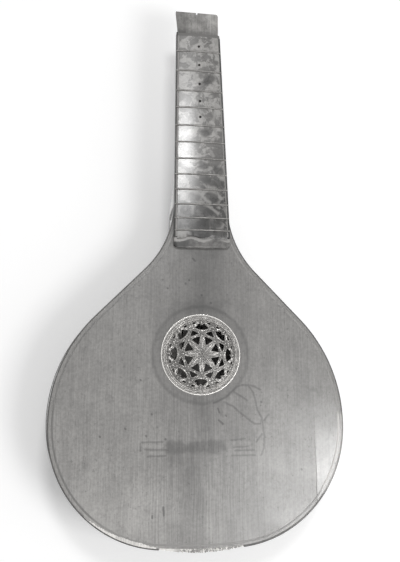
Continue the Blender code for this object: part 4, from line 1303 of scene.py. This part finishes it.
HEAD_LEFT, HEAD_RIGHT, HEAD_TOP_HALF = 21.0, 22.6, 23.0
sections = []
for share in spread(0.0, 1.0, 0.1):
    y = NUT_Y + 0.1 + (HEAD_TOP_Y - NUT_Y - 0.1) * share
    left = HEAD_LEFT + (HEAD_TOP_HALF - HEAD_LEFT) * share
    right = HEAD_RIGHT + (HEAD_TOP_HALF - HEAD_RIGHT) * share
    sections.append(neck_section(y, left, right, HEAD_DEEP, 0.3 + 0.3 * share))
head = neck_piece("head_block", sections, HEAD_WOOD, 0.5)
print("neck sections and head sections:", len(shaft.data.polygons), len(head.data.polygons))

# %% [markdown]
# ### Cutting the head and drilling the neck
#
# The head's top is sawn off, with a small round notch in the cut and one rounded corner. Five holes
# go right through the fingerboard and the neck. The bolt of a capo was put through one of them. They
# stand between the first frets, and they aren't quite evenly spaced, because they were bored by eye.

# %% Notch, corner and capo holes
HOLE_WIDE = 1.4
CAPO_PLACES = (323.5, 302.6, 281.4, 262.4, 245.0)
CORNER = 3.2
NOTCH = 1.4
corner_middle = CORNER * (1.0 - math.sqrt(0.5))
corner_line = [(HEAD_TOP_HALF - CORNER, HEAD_TOP_Y + 0.3), (HEAD_TOP_HALF + CORNER, HEAD_TOP_Y + 0.3),
               (HEAD_TOP_HALF + CORNER, HEAD_TOP_Y - CORNER),
               (HEAD_TOP_HALF, HEAD_TOP_Y - CORNER),
               (HEAD_TOP_HALF - corner_middle, HEAD_TOP_Y - corner_middle)]
for outline in (corner_line, circle_of(NOTCH, 32, 0.0, HEAD_TOP_Y - NOTCH + 0.3)):
    cut(head, plate("head_cut", [tuple(leaned((x, y, 0)))[:2] for x, y in outline], -20.0, 5.0))
settle(head, "head_block", None, ["neck"])


def drilled(piece):
    for y in CAPO_PLACES:
        x, along = tuple(leaned((0.0, y, 0.0)))[:2]
        cut(piece, plate("drill", circle_of(HOLE_WIDE, 40, x, along), -30.0, 15.0))
    return piece


settle(drilled(shaft), "neck_shaft", None, ["neck"])
cap_half = THROAT_HALF - BACK_DRAW
cap_line = [(cap_half * math.cos(angle), foot_start + FOOT_LONG * math.sin(angle))
            for angle in spread(0.0, math.pi, 0.08)]
heel_cap = plate("heel_cap_piece", cap_line, -DEPTH, BACK_THICK - DEPTH)
soften(heel_cap, 0.6, 3)
settle(heel_cap, "heel_cap_piece", BLACK_WOOD, ["heel_cap"])
print("holes drilled:", len(CAPO_PLACES))

# %% [markdown]
# ## Fingerboard
#
# A black core carries a thin veneer, with a black strip and a pale line down each side. The face is
# slightly arched across. At the body end the veneer has broken away in a wavy line and shows the
# core, with old glue and torn wood along the break. At the head end a bare band shows where the nut
# was glued.

# %% Core and its torn end
CORE_BASE = 0.3
CORE_TOP = 3.3
LAYER_BASE = 3.5
VENEER_THICK = 1.65
ARCH = 1.7
NUT_SEAT_Y = NUT_Y - 4.2
BREAK_MIDDLE = 117.4
BREAK_WAVE = 1.7
BREAK_PERIOD = 25.0
BREAK_CREST_X = -11.0
STRIP_WIDE = 1.9
WORN_STRIP_WIDE = 1.1
LINE_WIDE = 1.0
torn = np.random.default_rng(11)


def arch(x, y):
    return ARCH * (1.0 - min(1.0, (x / board_half(y)) ** 2))


def break_y(x):
    return BREAK_MIDDLE + BREAK_WAVE * math.cos(2 * math.pi * (x - BREAK_CREST_X) / BREAK_PERIOD)


def board_layer(name, low, high, inset, base, thick, columns, step):
    """A layer of the fingerboard. low gives the lower end at each place across."""
    sections = []
    bottom = low(0.0)
    rough = [torn.uniform(-0.35, 0.35) for _ in range(columns + 1)]
    for share in spread(0.0, 1.0, step / (high - bottom)):
        under, over = [], []
        for column in range(columns + 1):
            part = 2.0 * column / columns - 1.0
            start = low(part * (board_half(bottom) - inset)) + rough[column]
            y = start + (high - start) * share
            x = part * (board_half(y) - inset)
            under.append((x, y, base(x, y)))
            over.append((x, y, base(x, y) + thick(x, y)))
        sections.append(under + over[::-1])
    points, faces = loft([[tuple(leaned(point)) for point in row] for row in sections])
    return raw_mesh(name, points, faces, lay=[point for row in sections for point in row])


def core_wood():
    """Black wood with torn pale wood and glue along the break, the nut's bare seat, a painted light on
    the shaded end face and a painted shadow near the end on the bass side.
    """
    made = BLACK_WOOD.copy()
    made.name = "core_wood"
    tree, shader, colour = reopened(made)
    lay = add(tree, "ShaderNodeAttribute", attribute_name="lay").outputs["Vector"]
    ragged = wobbled(tree, wobbled(tree, lay, 90.0, 5.0), 420.0, 1.6)
    parts = add(tree, "ShaderNodeSeparateXYZ", {0: ragged})
    turn = maths(tree, "MULTIPLY", maths(tree, "SUBTRACT", parts.outputs[0], BREAK_CREST_X * MM),
                 2 * math.pi / (BREAK_PERIOD * MM))
    wave = maths(tree, "MULTIPLY", maths(tree, "COSINE", turn), BREAK_WAVE * MM)
    below = maths(tree, "SUBTRACT", maths(tree, "ADD", wave, BREAK_MIDDLE * MM), parts.outputs[1])
    face = ramp(tree, below, 1.5 * MM, 3.0 * MM)
    right = ramp(tree, parts.outputs[0], -19.0 * MM, -6.0 * MM, 0.15, 0.9)
    mottled = ramp(tree, noise(tree, lay, 260.0, 5.0, 0.7), 0.35, 0.65, 0.45, 1.0)
    right = maths(tree, "MULTIPLY", right, mottled)
    colour = mixed(tree, maths(tree, "MULTIPLY", face, right), colour, grey(0.18))
    torn_band = maths(tree, "MULTIPLY", ramp(tree, below, 4.6 * MM, 2.6 * MM),
                      ramp(tree, below, -1.4 * MM, -0.6 * MM))
    left = ramp(tree, parts.outputs[0], -12.0 * MM, -19.0 * MM, 0.8, 0.9)
    colour = mixed(tree, maths(tree, "MULTIPLY", torn_band, left), colour, grey(0.36))
    true_y = add(tree, "ShaderNodeSeparateXYZ", {0: lay}).outputs[1]
    # Painted light: the end face, which stands in shade, is painted pale.
    end = ramp(tree, true_y, (BOARD_END_Y + 0.35) * MM, (BOARD_END_Y + 0.05) * MM)
    colour = mixed(tree, maths(tree, "MULTIPLY", end, 0.85), colour, grey(0.42))
    # Painted shadow: the core near its end on the bass side is darkened.
    shadow_near_end = ramp(tree, parts.outputs[0], -13.0 * MM, -18.0 * MM)
    shadow_near_end = maths(tree, "MULTIPLY", shadow_near_end, ramp(tree, below, 4.0 * MM, 5.5 * MM))
    colour = mixed(tree, maths(tree, "MULTIPLY", shadow_near_end, 0.7), colour, grey(0.04))
    seat = ramp(tree, parts.outputs[1], (NUT_SEAT_Y - 0.5) * MM, NUT_SEAT_Y * MM)
    colour = mixed(tree, maths(tree, "MULTIPLY", seat, 0.8), colour, grey(0.20))
    tree.links.new(colour, shader.inputs["Base Color"])
    return made


CORE_WOOD = core_wood()
END_CORNER = 2.4


def worn_end(x):
    """The core's lower end, with its two corners worn off."""
    past = max(0.0, abs(x) - (board_half(BOARD_END_Y) - END_CORNER))
    return BOARD_END_Y + past


core = board_layer("fingerboard_core_piece", worn_end, NUT_Y, 0.0,
                   lambda x, y: CORE_BASE, lambda x, y: CORE_TOP - CORE_BASE + arch(x, y), 24, 6.0)
soften(core, 0.25, 2)
settle(drilled(core), "fingerboard_core_piece", CORE_WOOD, ["fingerboard_core"])
veneer = board_layer("veneer_piece", break_y, NUT_SEAT_Y, STRIP_WIDE + LINE_WIDE,
                     lambda x, y: LAYER_BASE + arch(x, y) - 0.15, lambda x, y: VENEER_THICK, 44, 4.0)
soften(veneer, 0.12, 1)
settle(drilled(veneer), "veneer_piece", SHELL, ["fingerboard_veneer"])
print("core faces:", len(core.data.polygons), "veneer faces:", len(veneer.data.polygons))

# %% Black borders and pale lines
LAYER_TOP = LAYER_BASE + VENEER_THICK - 0.15
LAYER_MIDDLE = (CORE_TOP + LAYER_TOP) / 2
LAYER_THICK = LAYER_TOP - CORE_TOP


def board_chain(side, inset, low, high):
    chain = []
    for y in spread(low, high, 6.0):
        x = side * (board_half(y) - inset)
        chain.append(tuple(leaned((x, y, LAYER_MIDDLE + arch(x, y)))))
    return chain


for name, side, top, wide in (("bass", -1, NUT_Y, WORN_STRIP_WIDE),
                              ("treble", 1, NUT_SEAT_Y, STRIP_WIDE)):
    strip("border_" + name, [board_chain(side, wide / 2, BREAK_MIDDLE, top)], wide,
          LAYER_THICK, 0.3, BLACK_WOOD, ["fingerboard_edge_" + name])
    line_wide = STRIP_WIDE + LINE_WIDE - wide
    strip("border_line_" + name,
          [board_chain(side, wide + line_wide / 2, BREAK_MIDDLE + 0.4, NUT_SEAT_Y)],
          line_wide, LAYER_THICK, 0.08, DULL_LINE, ["fingerboard_line_" + name])
print("border strips: 4")

# %% [markdown]
# ## Frets
#
# Twelve brass frets, each bent to the arch of the board. Equal steps of pitch set where they belong:
# each fret is one twelfth-root of two nearer to the bridge than the last. The maker's own setting is
# a few millimetres off that at each fret, which is what the photograph shows.

# %% Twelve frets
STRING_LENGTH = 430.0
FRET_SHIFTS = (2.5, 3.4, 2.6, 4.6, 4.0, 4.1, 3.4, 2.8, 2.0, 0.8, 0.1, 0.0)
FRET_WIDE = 1.5
FRET_HIGH = 0.9
FRET_FOOT = 0.6


def fret_chain(y):
    chain = []
    half = board_half(y) - 0.2
    for x in spread(-half, half, 2.0):
        middle = LAYER_TOP + arch(x, y) + (FRET_HIGH - FRET_FOOT) / 2
        chain.append(tuple(leaned((x, y, middle))))
    return chain


for number, shift in enumerate(FRET_SHIFTS, 1):
    y = NUT_Y - STRING_LENGTH * (1.0 - 2.0 ** (-number / 12.0)) + shift
    strip("brass_fret_%02d" % number, [fret_chain(y)], FRET_WIDE, FRET_HIGH + FRET_FOOT, 0.5,
          FRET_BRASS, ["fret_%02d" % number])
print("frets:", len(FRET_SHIFTS))

# %% [markdown]
# ## Rose
#
# The rose is a thin dome of pierced metal in eight equal lobes. One lobe is modelled as a relief:
# a grid in angle and radius, whose height rises from the edge of each opening like the rounded
# strands of a casting. Points that fall just inside an opening are pulled to its edge, so the edges
# are smooth. A Geometry Nodes tree then turns the lobe round the centre eight times.

# %% Openings of one lobe
LOBES = 8
LOBE_TURN = 360.0 / LOBES
RIM_RADIUS = 33.7
DOME_RISE = 8.5
KIDNEY = ((0.0, 28.6), (0.9, 29.0), (1.7, 30.1), (2.7, 30.3), (3.7, 29.3), (4.7, 27.8), (6.4, 26.6),
          (6.2, 25.9), (4.2, 24.8), (2.2, 24.4), (0.0, 24.2))
WEDGE = ((0.0, 17.0), (2.2, 17.0), (4.2, 16.9), (4.5, 16.4), (3.2, 14.8), (1.95, 12.6), (0.8, 10.7),
         (0.0, 9.7))
PETAL_GAP = ((0.0, 19.8), (2.2, 20.0), (4.5, 19.9), (4.8, 20.2), (3.1, 21.6), (1.7, 23.2),
             (0.6, 24.2), (0.0, 24.4))
EYE = ((0.0, 30.8), (1.2, 30.8), (2.1, 31.4), (1.2, 32.2), (0.0, 32.3))


def smooth_loop(half_line, steps=4):
    """A closed smooth line through the points and their mirror images."""
    loop = [np.array(p) for p in half_line] + [np.array((-x, y)) for x, y in half_line[-2:0:-1]]
    count = len(loop)
    line = []
    for index in range(count):
        a, b, c, d = (loop[(index + shift) % count] for shift in (-1, 0, 1, 2))
        for step in range(steps):
            t = step / steps
            line.append(0.5 * (2 * b + (c - a) * t + (2 * a - 5 * b + 4 * c - d) * t * t
                               + (3 * b - a - 3 * c + d) * t ** 3))
    return np.array(line)


def turned_by(line, degrees):
    angle = math.radians(degrees)
    spin = np.array([[math.cos(angle), math.sin(angle)], [-math.sin(angle), math.cos(angle)]])
    return line @ spin


def rose_openings():
    shapes = []
    for lobe in (-1, 0, 1):
        turn = lobe * LOBE_TURN
        shapes.append(turned_by(smooth_loop(KIDNEY), turn))
        shapes.append(turned_by(smooth_loop(WEDGE), turn + LOBE_TURN / 2))
        shapes.append(turned_by(smooth_loop(PETAL_GAP), turn + LOBE_TURN / 2))
        for side in (-1, 1):
            shapes.append(turned_by(smooth_loop(EYE), turn + side * 13.8))
    return shapes


def away_from(points, loop):
    """Signed distance from a closed line, negative inside it."""
    starts, ends = loop, np.roll(loop, -1, axis=0)
    span = ends - starts
    offset = points[:, None, :] - starts[None, :, :]
    share = np.clip((offset * span).sum(2) / (span * span).sum(1), 0.0, 1.0)
    gap = offset - share[:, :, None] * span
    nearest = np.sqrt((gap * gap).sum(2)).min(1)
    py, sy, ey = points[:, None, 1], starts[None, :, 1], ends[None, :, 1]
    crosses = (sy > py) != (ey > py)
    rise = np.where(crosses, ey - sy, 1.0)
    at_x = starts[None, :, 0] + (py - sy) / rise * span[None, :, 0]
    inside = (crosses & (points[:, None, 0] < at_x)).sum(1) % 2 == 1
    return np.where(inside, -nearest, nearest)


OPENINGS = rose_openings()


def metal_depth(points):
    """How far a point of the rose is inside the metal, in millimetres."""
    depth = np.full(len(points), 1e9)
    for loop in OPENINGS:
        depth = np.minimum(depth, away_from(points, loop))
    return depth


print("openings round one lobe:", len(OPENINGS))

# %% [markdown]
# ### Relief of the lobe
#
# The strands are rounded, and some carry a raised line: a pair of scrolls beside each upper opening,
# a beaded circle, a rib along each petal and a small boss in the middle. The raised lines and studs
# also carry painted highlights, near-white patches in the metal's colour, and a groove down the
# middle of each strand is marked dirty.

# %% Relief
SHEET = 0.75
STRAND_RISE = 0.60
STRAND_ROUND = 0.6
VEIN_START = 0.62
VEIN_WIDE = 0.35
VEIN_DEEP = 0.35
SCROLL = ((3.2, 31.4), (4.6, 31.2), (5.8, 30.4), (6.5, 29.2), (6.4, 28.2), (5.6, 28.1))
RIB = ((0.0, 7.0), (0.0, 10.5), (0.0, 13.5))
LEAF_EDGE = ((0.9, 16.5), (1.6, 14.0), (1.2, 11.0))
# Studs: a centre, a size, and how strong a painted highlight each carries.
STUDS = (((0.0, 23.4), 1.15, 1.0), ((0.0, 31.6), 0.9, 0.8), ((11.4, 27.5), 1.0, 1.0),
         ((4.6, 32.8), 0.7, 0.9), ((9.6, 31.4), 0.7, 0.9), ((8.6, 25.4), 0.8, 0.7),
         ((6.9, 17.3), 0.9, 0.6), ((0.0, 18.6), 0.9, 0.6), ((12.5, 30.3), 0.8, 0.9),
         ((2.2, 4.6), 0.8, 0.9), ((0.0, 33.0), 0.7, 0.9), ((7.6, 32.6), 0.7, 0.9),
         ((4.1, 21.6), 0.9, 0.9), ((10.9, 23.4), 0.8, 0.8), ((2.4, 23.3), 0.6, 0.8),
         ((2.6, 33.1), 0.6, 0.8), ((11.0, 31.6), 0.6, 0.8), ((9.6, 27.2), 0.6, 0.7))


def ridge(points, line, width):
    """A rounded raised line: 1 on the line and 0 beyond its width."""
    line = np.array(line)
    nearest = np.full(len(points), 1e9)
    for start, end in zip(line, line[1:]):
        span = end - start
        share = np.clip(((points - start) @ span) / (span @ span), 0.0, 1.0)
        gap = points - start - share[:, None] * span
        nearest = np.minimum(nearest, np.sqrt((gap * gap).sum(1)))
    return np.maximum(0.0, 1.0 - (nearest / width) ** 2)


def relief(points, depth):
    radius = np.hypot(points[:, 0], points[:, 1])
    angle = np.arctan2(points[:, 0], points[:, 1])
    part = np.clip(depth / STRAND_ROUND, 0.0, 1.0)
    height = STRAND_RISE * np.sqrt(1.0 - (1.0 - part) ** 2)
    height -= VEIN_DEEP * np.clip((depth - VEIN_START) / VEIN_WIDE, 0.0, 1.0)
    folded = points.copy()
    fold = np.radians(LOBE_TURN)
    local = angle - np.round(angle / fold) * fold
    folded[:, 0] = np.abs(radius * np.sin(local))
    folded[:, 1] = radius * np.cos(local)
    # The attribute for the metal: over 0 a painted highlight, under 0 dirt.
    rub = 0.87 * ridge(folded, SCROLL, 0.95) + 0.8 * ridge(folded, RIB, 0.65)
    rub += 0.5 * ridge(folded, LEAF_EDGE, 0.5)
    for (x, y), size, sheen in STUDS:
        stud = np.maximum(0.0, 1.0 - ((folded - (x, y)) ** 2).sum(1) / size ** 2)
        rub += sheen * stud
    height += 0.40 * np.minimum(rub, 1.0)
    rub -= np.clip((depth - VEIN_START) / VEIN_WIDE, 0.0, 1.0) * (rub < 0.1)
    petals = np.where(radius < 9.0, 0.12 * np.cos(local * LOBES * 2) * radius / 9.0, 0.0)
    boss = 0.25 * np.maximum(0.0, 1.0 - (radius / 2.6) ** 2)
    return height + petals + boss, np.clip(rub, -1.0, 1.0)


def dome(radius):
    return DOME_RISE * (1.0 - (radius / RIM_RADIUS) ** 2)


RADIUS_STEP = 0.34
ANGLE_STEPS = 56
PULL = 0.55


def lobe_grid():
    """Points of the grid, pulled out of the openings, and the cells that are metal."""
    radii = np.array(spread(0.75, RIM_RADIUS, RADIUS_STEP))
    angles = np.radians(np.linspace(-LOBE_TURN / 2, LOBE_TURN / 2, ANGLE_STEPS + 1))
    r, a = np.meshgrid(radii, angles, indexing="ij")
    points = np.stack([(r * np.sin(a)).ravel(), (r * np.cos(a)).ravel()], axis=1)
    depth = metal_depth(points)
    nudge = 0.02
    for _ in range(3):
        slope = np.stack([metal_depth(points + (nudge, 0)) - metal_depth(points - (nudge, 0)),
                          metal_depth(points + (0, nudge)) - metal_depth(points - (0, nudge))], 1)
        slope /= np.maximum(np.linalg.norm(slope, axis=1, keepdims=True), 1e-6)
        near = (depth < 0.02) & (depth > -PULL)
        points[near] -= slope[near] * depth[near, None]
        depth = metal_depth(points)
    return points, depth, len(radii), ANGLE_STEPS + 1


def lobe_mesh():
    points, depth, rows, columns = lobe_grid()
    radius = np.hypot(points[:, 0], points[:, 1])
    low = -0.7 + dome(radius)
    rise, rub = relief(points, depth)
    high = low + SHEET + rise
    solid = depth > -0.05
    faces, count = [], len(points)
    edges = {}
    for row in range(rows - 1):
        for column in range(columns - 1):
            near = row * columns + column
            cell = (near, near + 1, near + columns + 1, near + columns)
            if not all(solid[index] for index in cell):
                continue
            faces.append(cell[::-1])
            faces.append(tuple(index + count for index in cell))
            for start, end in zip(cell, cell[1:] + cell[:1]):
                edges[(start, end)] = edges.get((start, end), 0) + 1
    for start, end in edges:
        if (end, start) in edges:
            continue
        on_seam = {start % columns, end % columns} in ({0}, {columns - 1})
        if not on_seam:
            faces.append((start, end, end + count, start + count))
    places = [(x, y, z) for (x, y), z in zip(points, low)]
    places += [(x, y, z) for (x, y), z in zip(points, high)]
    mesh = bpy.data.meshes.new("lobe")
    mesh.from_pydata([Vector(place) * MM for place in places], [], faces)
    # The top carries the relief's painted highlights and dirt; the underside is marked dirty.
    attribute = mesh.attributes.new("rub", "FLOAT", "POINT")
    attribute.data.foreach_set("value", np.concatenate([-np.ones(count), rub]))
    item = bpy.data.objects.new("lobe", mesh)
    bpy.context.scene.collection.objects.link(item)
    return item


lobe = lobe_mesh()
print("lobe faces:", len(lobe.data.polygons))

# %% [markdown]
# ### Eight lobes and the beaded ring
#
# One tree repeats whatever it is given round the centre. It makes the rose out of the lobe, and the
# two circles of beads out of a single bead. The ring itself is turned like a picture frame: a flat
# band between two raised mouldings.

# %% Trees for turning round the centre
ROUND, into = geometry_tree("repeated round the centre",
                            [("Count", "NodeSocketInt", 8), ("Radius", FLOAT, 0.0),
                             ("Start angle", FLOAT, 0.0), ("Centre", VECTOR, (0, 0, 0)),
                             ("Join distance", FLOAT, 0.0)])
dots = add(ROUND, "GeometryNodePoints", {"Count": into["Count"]}).outputs[0]
order = add(ROUND, "GeometryNodeInputIndex").outputs[0]
full_turn = maths(ROUND, "DIVIDE", 2 * math.pi, into["Count"])
angle = maths(ROUND, "ADD", maths(ROUND, "MULTIPLY", order, full_turn), into["Start angle"])
facing = add(ROUND, "ShaderNodeCombineXYZ", {2: angle}).outputs[0]
outward = add(ROUND, "ShaderNodeCombineXYZ", {0: maths(ROUND, "COSINE", angle),
                                              1: maths(ROUND, "SINE", angle)}).outputs[0]
scaled = add(ROUND, "ShaderNodeVectorMath", {0: outward, 3: into["Radius"]},
             operation="SCALE").outputs[0]
placed = add(ROUND, "GeometryNodeSetPosition",
             {"Geometry": dots, "Position": vectors(ROUND, "ADD", scaled, into["Centre"])}).outputs[0]
copies = add(ROUND, "GeometryNodeInstanceOnPoints",
             {"Points": placed, "Instance": into["Geometry"], "Rotation": facing}).outputs[0]
real = add(ROUND, "GeometryNodeRealizeInstances", {"Geometry": copies}).outputs[0]
joined = add(ROUND, "GeometryNodeMergeByDistance",
             {"Geometry": real, "Distance": into["Join distance"]}).outputs[0]
close_tree(ROUND, joined, into["Finish"])

# %% Rose and ring
ROSE_TURN = -1.0
grown(lobe, ROUND, count=LOBES, start_angle=math.radians(ROSE_TURN), centre=tuple(ROSE),
      join_distance=MM / 200, finish=GILT)
settle(lobe, "rose_relief", None, ["rose_tracery"], math.radians(60))
# Radius, height and painted highlight of each ring: 1 is a near-white painted highlight, under 0 dirt.
RING_PROFILE = ((39.6, 0.05, 0.2), (39.7, 0.55, 1.0), (39.5, 1.0, 1.0), (39.0, 1.1, 1.0),
                (38.65, 0.9, 0.9), (38.4, 0.5, -0.9), (37.9, 0.45, -0.3), (37.2, 0.5, 0.0),
                (36.4, 0.5, 0.0), (35.9, 0.45, -0.3), (35.6, 0.8, 0.2), (35.0, 1.0, 0.4),
                (34.4, 0.9, 0.3), (34.1, 0.6, 0.0), (33.75, 0.5, 0.1), (33.72, -0.9, -0.2),
                (32.6, -1.0, -1.0), (32.6, -1.9, -1.0), (35.9, -1.9, 0.0), (35.9, 0.05, 0.0))
RING_STEPS = 256
sections = []
for turn in spread(0.0, 2 * math.pi, 2 * math.pi / RING_STEPS)[:-1]:
    sections.append([(r * math.cos(turn), r * math.sin(turn), z) for r, z, _ in RING_PROFILE])
points, faces = loft(sections + [sections[0]], closed_ends=False)
ring = raw_mesh("ring_moulding", points, faces)
attribute = ring.data.attributes.new("rub", "FLOAT", "POINT")
attribute.data.foreach_set("value", [part[2] for part in RING_PROFILE] * (RING_STEPS + 1))
bm = bmesh.new()
bm.from_mesh(ring.data)
bmesh.ops.remove_doubles(bm, verts=bm.verts, dist=MM / 1000)
bmesh.ops.recalc_face_normals(bm, faces=bm.faces)
bm.to_mesh(ring.data)
bm.free()
settle(ring, "ring_moulding", GILT, ["rose_ring"])
# Each circle of beads: radius, bead size, height and the strength of its painted highlight.
for name, radius, size, height, shine in (("outer", 37.2, 0.34, 0.5, 0.25),
                                          ("inner", 35.0, 0.52, 0.95, 0.85)):
    mesh = bpy.data.meshes.new("bead")
    bm = bmesh.new()
    bmesh.ops.create_uvsphere(bm, u_segments=10, v_segments=7, radius=size * MM)
    bm.to_mesh(mesh)
    bm.free()
    attribute = mesh.attributes.new("rub", "FLOAT", "POINT")
    attribute.data.foreach_set("value", [shine] * len(mesh.vertices))
    bead = bpy.data.objects.new("beads_" + name, mesh)
    bpy.context.scene.collection.objects.link(bead)
    count = round(2 * math.pi * radius / (size * 2.05))
    grown(bead, ROUND, count=count, radius=radius * MM, start_angle=0.0,
          centre=tuple(ROSE + Vector((0, 0, height * MM))), join_distance=0.0, finish=GILT)
    settle(bead, "beads_" + name, None, [], math.radians(80))
    print("beads:", name, count)

# %% [markdown]
# ## Hitch pins
#
# Six small bone pins stand in the tail, to hold the strings' loops. Each is turned: a thin shank in
# the end block, a waist and a rounded button.

# %% Turned pins
PIN_SHAPE = ((12.0, 0.5), (11.4, 1.15), (0.4, 1.5), (-0.2, 1.5), (-0.5, 1.35), (-1.0, 1.3),
             (-1.5, 1.5), (-2.0, 2.0), (-2.6, 2.3), (-3.2, 2.35), (-3.7, 2.1), (-4.0, 1.5),
             (-4.15, 0.7), (-4.18, 0.2))
PIN_Z = 38.0 - DEPTH
PIN_SPACING = 9.0
PIN_COUNT = 6
pin_face = leaning_edge(0.0, RIB_INSET, PIN_Z).y
for index in range(PIN_COUNT):
    x = (index - (PIN_COUNT - 1) / 2) * PIN_SPACING
    chain = [(x, pin_face + along, PIN_Z) for along, _ in PIN_SHAPE]
    girths = [radius for _, radius in PIN_SHAPE]
    name = "bone_pin_%d" % (index + 1)
    pin = grown(chain_mesh(name, [chain], girths), TURNED, sides=28, finish=BONE)
    settle(pin, name, None, ["hitch_pin_%d" % (index + 1)])
print("pins:", PIN_COUNT)

# %% [markdown]
# ## The pieces that stay as they are
#
# The bars, linings and blocks inside hardly show through the rose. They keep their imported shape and
# get the bare wood's finish.

# %% Inside pieces
INSIDE = {"plain_wood": BARE_WOOD}
kept = 0
for part in frame["record"]["subparts"]:
    piece = nodes[part["node"]]
    if piece.hide_render:
        continue
    piece.data.materials.clear()
    piece.data.materials.append(INSIDE[part["material_slot"]])
    kept += 1
print("inside pieces:", kept)

# %% [markdown]
# ## Floor, light and camera
#
# A pale floor that is plain white to the camera, but keeps the shadow. A high soft window beyond the
# neck gives the highlight along the fingerboard, and a second one on the right gives the soft
# shadow to the left of the body.

# %% Pale floor
FLOOR_HALF = 3.0
PAPER_LIFT = 0.15
bpy.ops.mesh.primitive_plane_add(size=2 * FLOOR_HALF, location=(0, 0, -0.0005))
floor = bpy.context.object
floor.name = "floor"
paper, tree, shader = material("paper")
shader.inputs["Base Color"].default_value = (0.95, 0.95, 0.95, 1)
shader.inputs["Roughness"].default_value = 0.9
path = add(tree, "ShaderNodeLightPath")
bright = add(tree, "ShaderNodeEmission", {"Color": (1, 1, 1, 1), "Strength": 1.0})
shader.inputs["Emission Color"].default_value = (1, 1, 1, 1)
lift = maths(tree, "MULTIPLY", path.outputs["Is Camera Ray"], PAPER_LIFT)
tree.links.new(lift, shader.inputs["Emission Strength"])
mirror = maths(tree, "MAXIMUM", path.outputs["Is Glossy Ray"], path.outputs["Is Transmission Ray"])
both = add(tree, "ShaderNodeMixShader", {0: mirror, 1: shader.outputs[0], 2: bright.outputs[0]})
tree.links.new(both.outputs[0], tree.nodes["Material Output"].inputs["Surface"])
floor.data.materials.append(paper)


# %% Lamps and sky
def lamp(name, place, size, watts):
    data = bpy.data.lights.new(name, "AREA")
    data.size = size
    data.energy = watts
    item = bpy.data.objects.new(name, data)
    item.location = ROSE + Vector(place)
    item.rotation_euler = Vector(place).to_track_quat("Z", "Y").to_euler()
    bpy.context.scene.collection.objects.link(item)
    return item


lamp("top", (-0.04, 0.74, 1.47), 0.30, 6.5)
lamp("right", (0.61, -0.36, 1.15), 0.48, 6.0)
lamp("side", (1.30, -0.80, 0.80), 1.2, 4.0)
world = bpy.data.worlds.new("studio")
world.use_nodes = True
world.node_tree.nodes["Background"].inputs["Color"].default_value = (1, 1, 1, 1)
world.node_tree.nodes["Background"].inputs["Strength"].default_value = 0.48
bpy.context.scene.world = world
print("lamps: 3")

# %% Camera at the photograph's viewing angle
FOCAL_PIXELS = 682.5
IMAGE_HEIGHT = 562
camera_data = bpy.data.cameras.new("camera")
camera_data.sensor_fit = "VERTICAL"
camera_data.sensor_height = 36.0
camera_data.lens = FOCAL_PIXELS / IMAGE_HEIGHT * camera_data.sensor_height
camera = bpy.data.objects.new("camera", camera_data)
camera.location = ROSE + Vector((-0.1216, -0.0431, 0.6639))
camera.rotation_euler = [math.radians(v) for v in (9.793, -10.321, 0.060)]
bpy.context.scene.collection.objects.link(camera)
bpy.context.scene.camera = camera
bpy.context.scene.view_settings.view_transform = "Standard"
print("camera lens", round(camera_data.lens, 2))
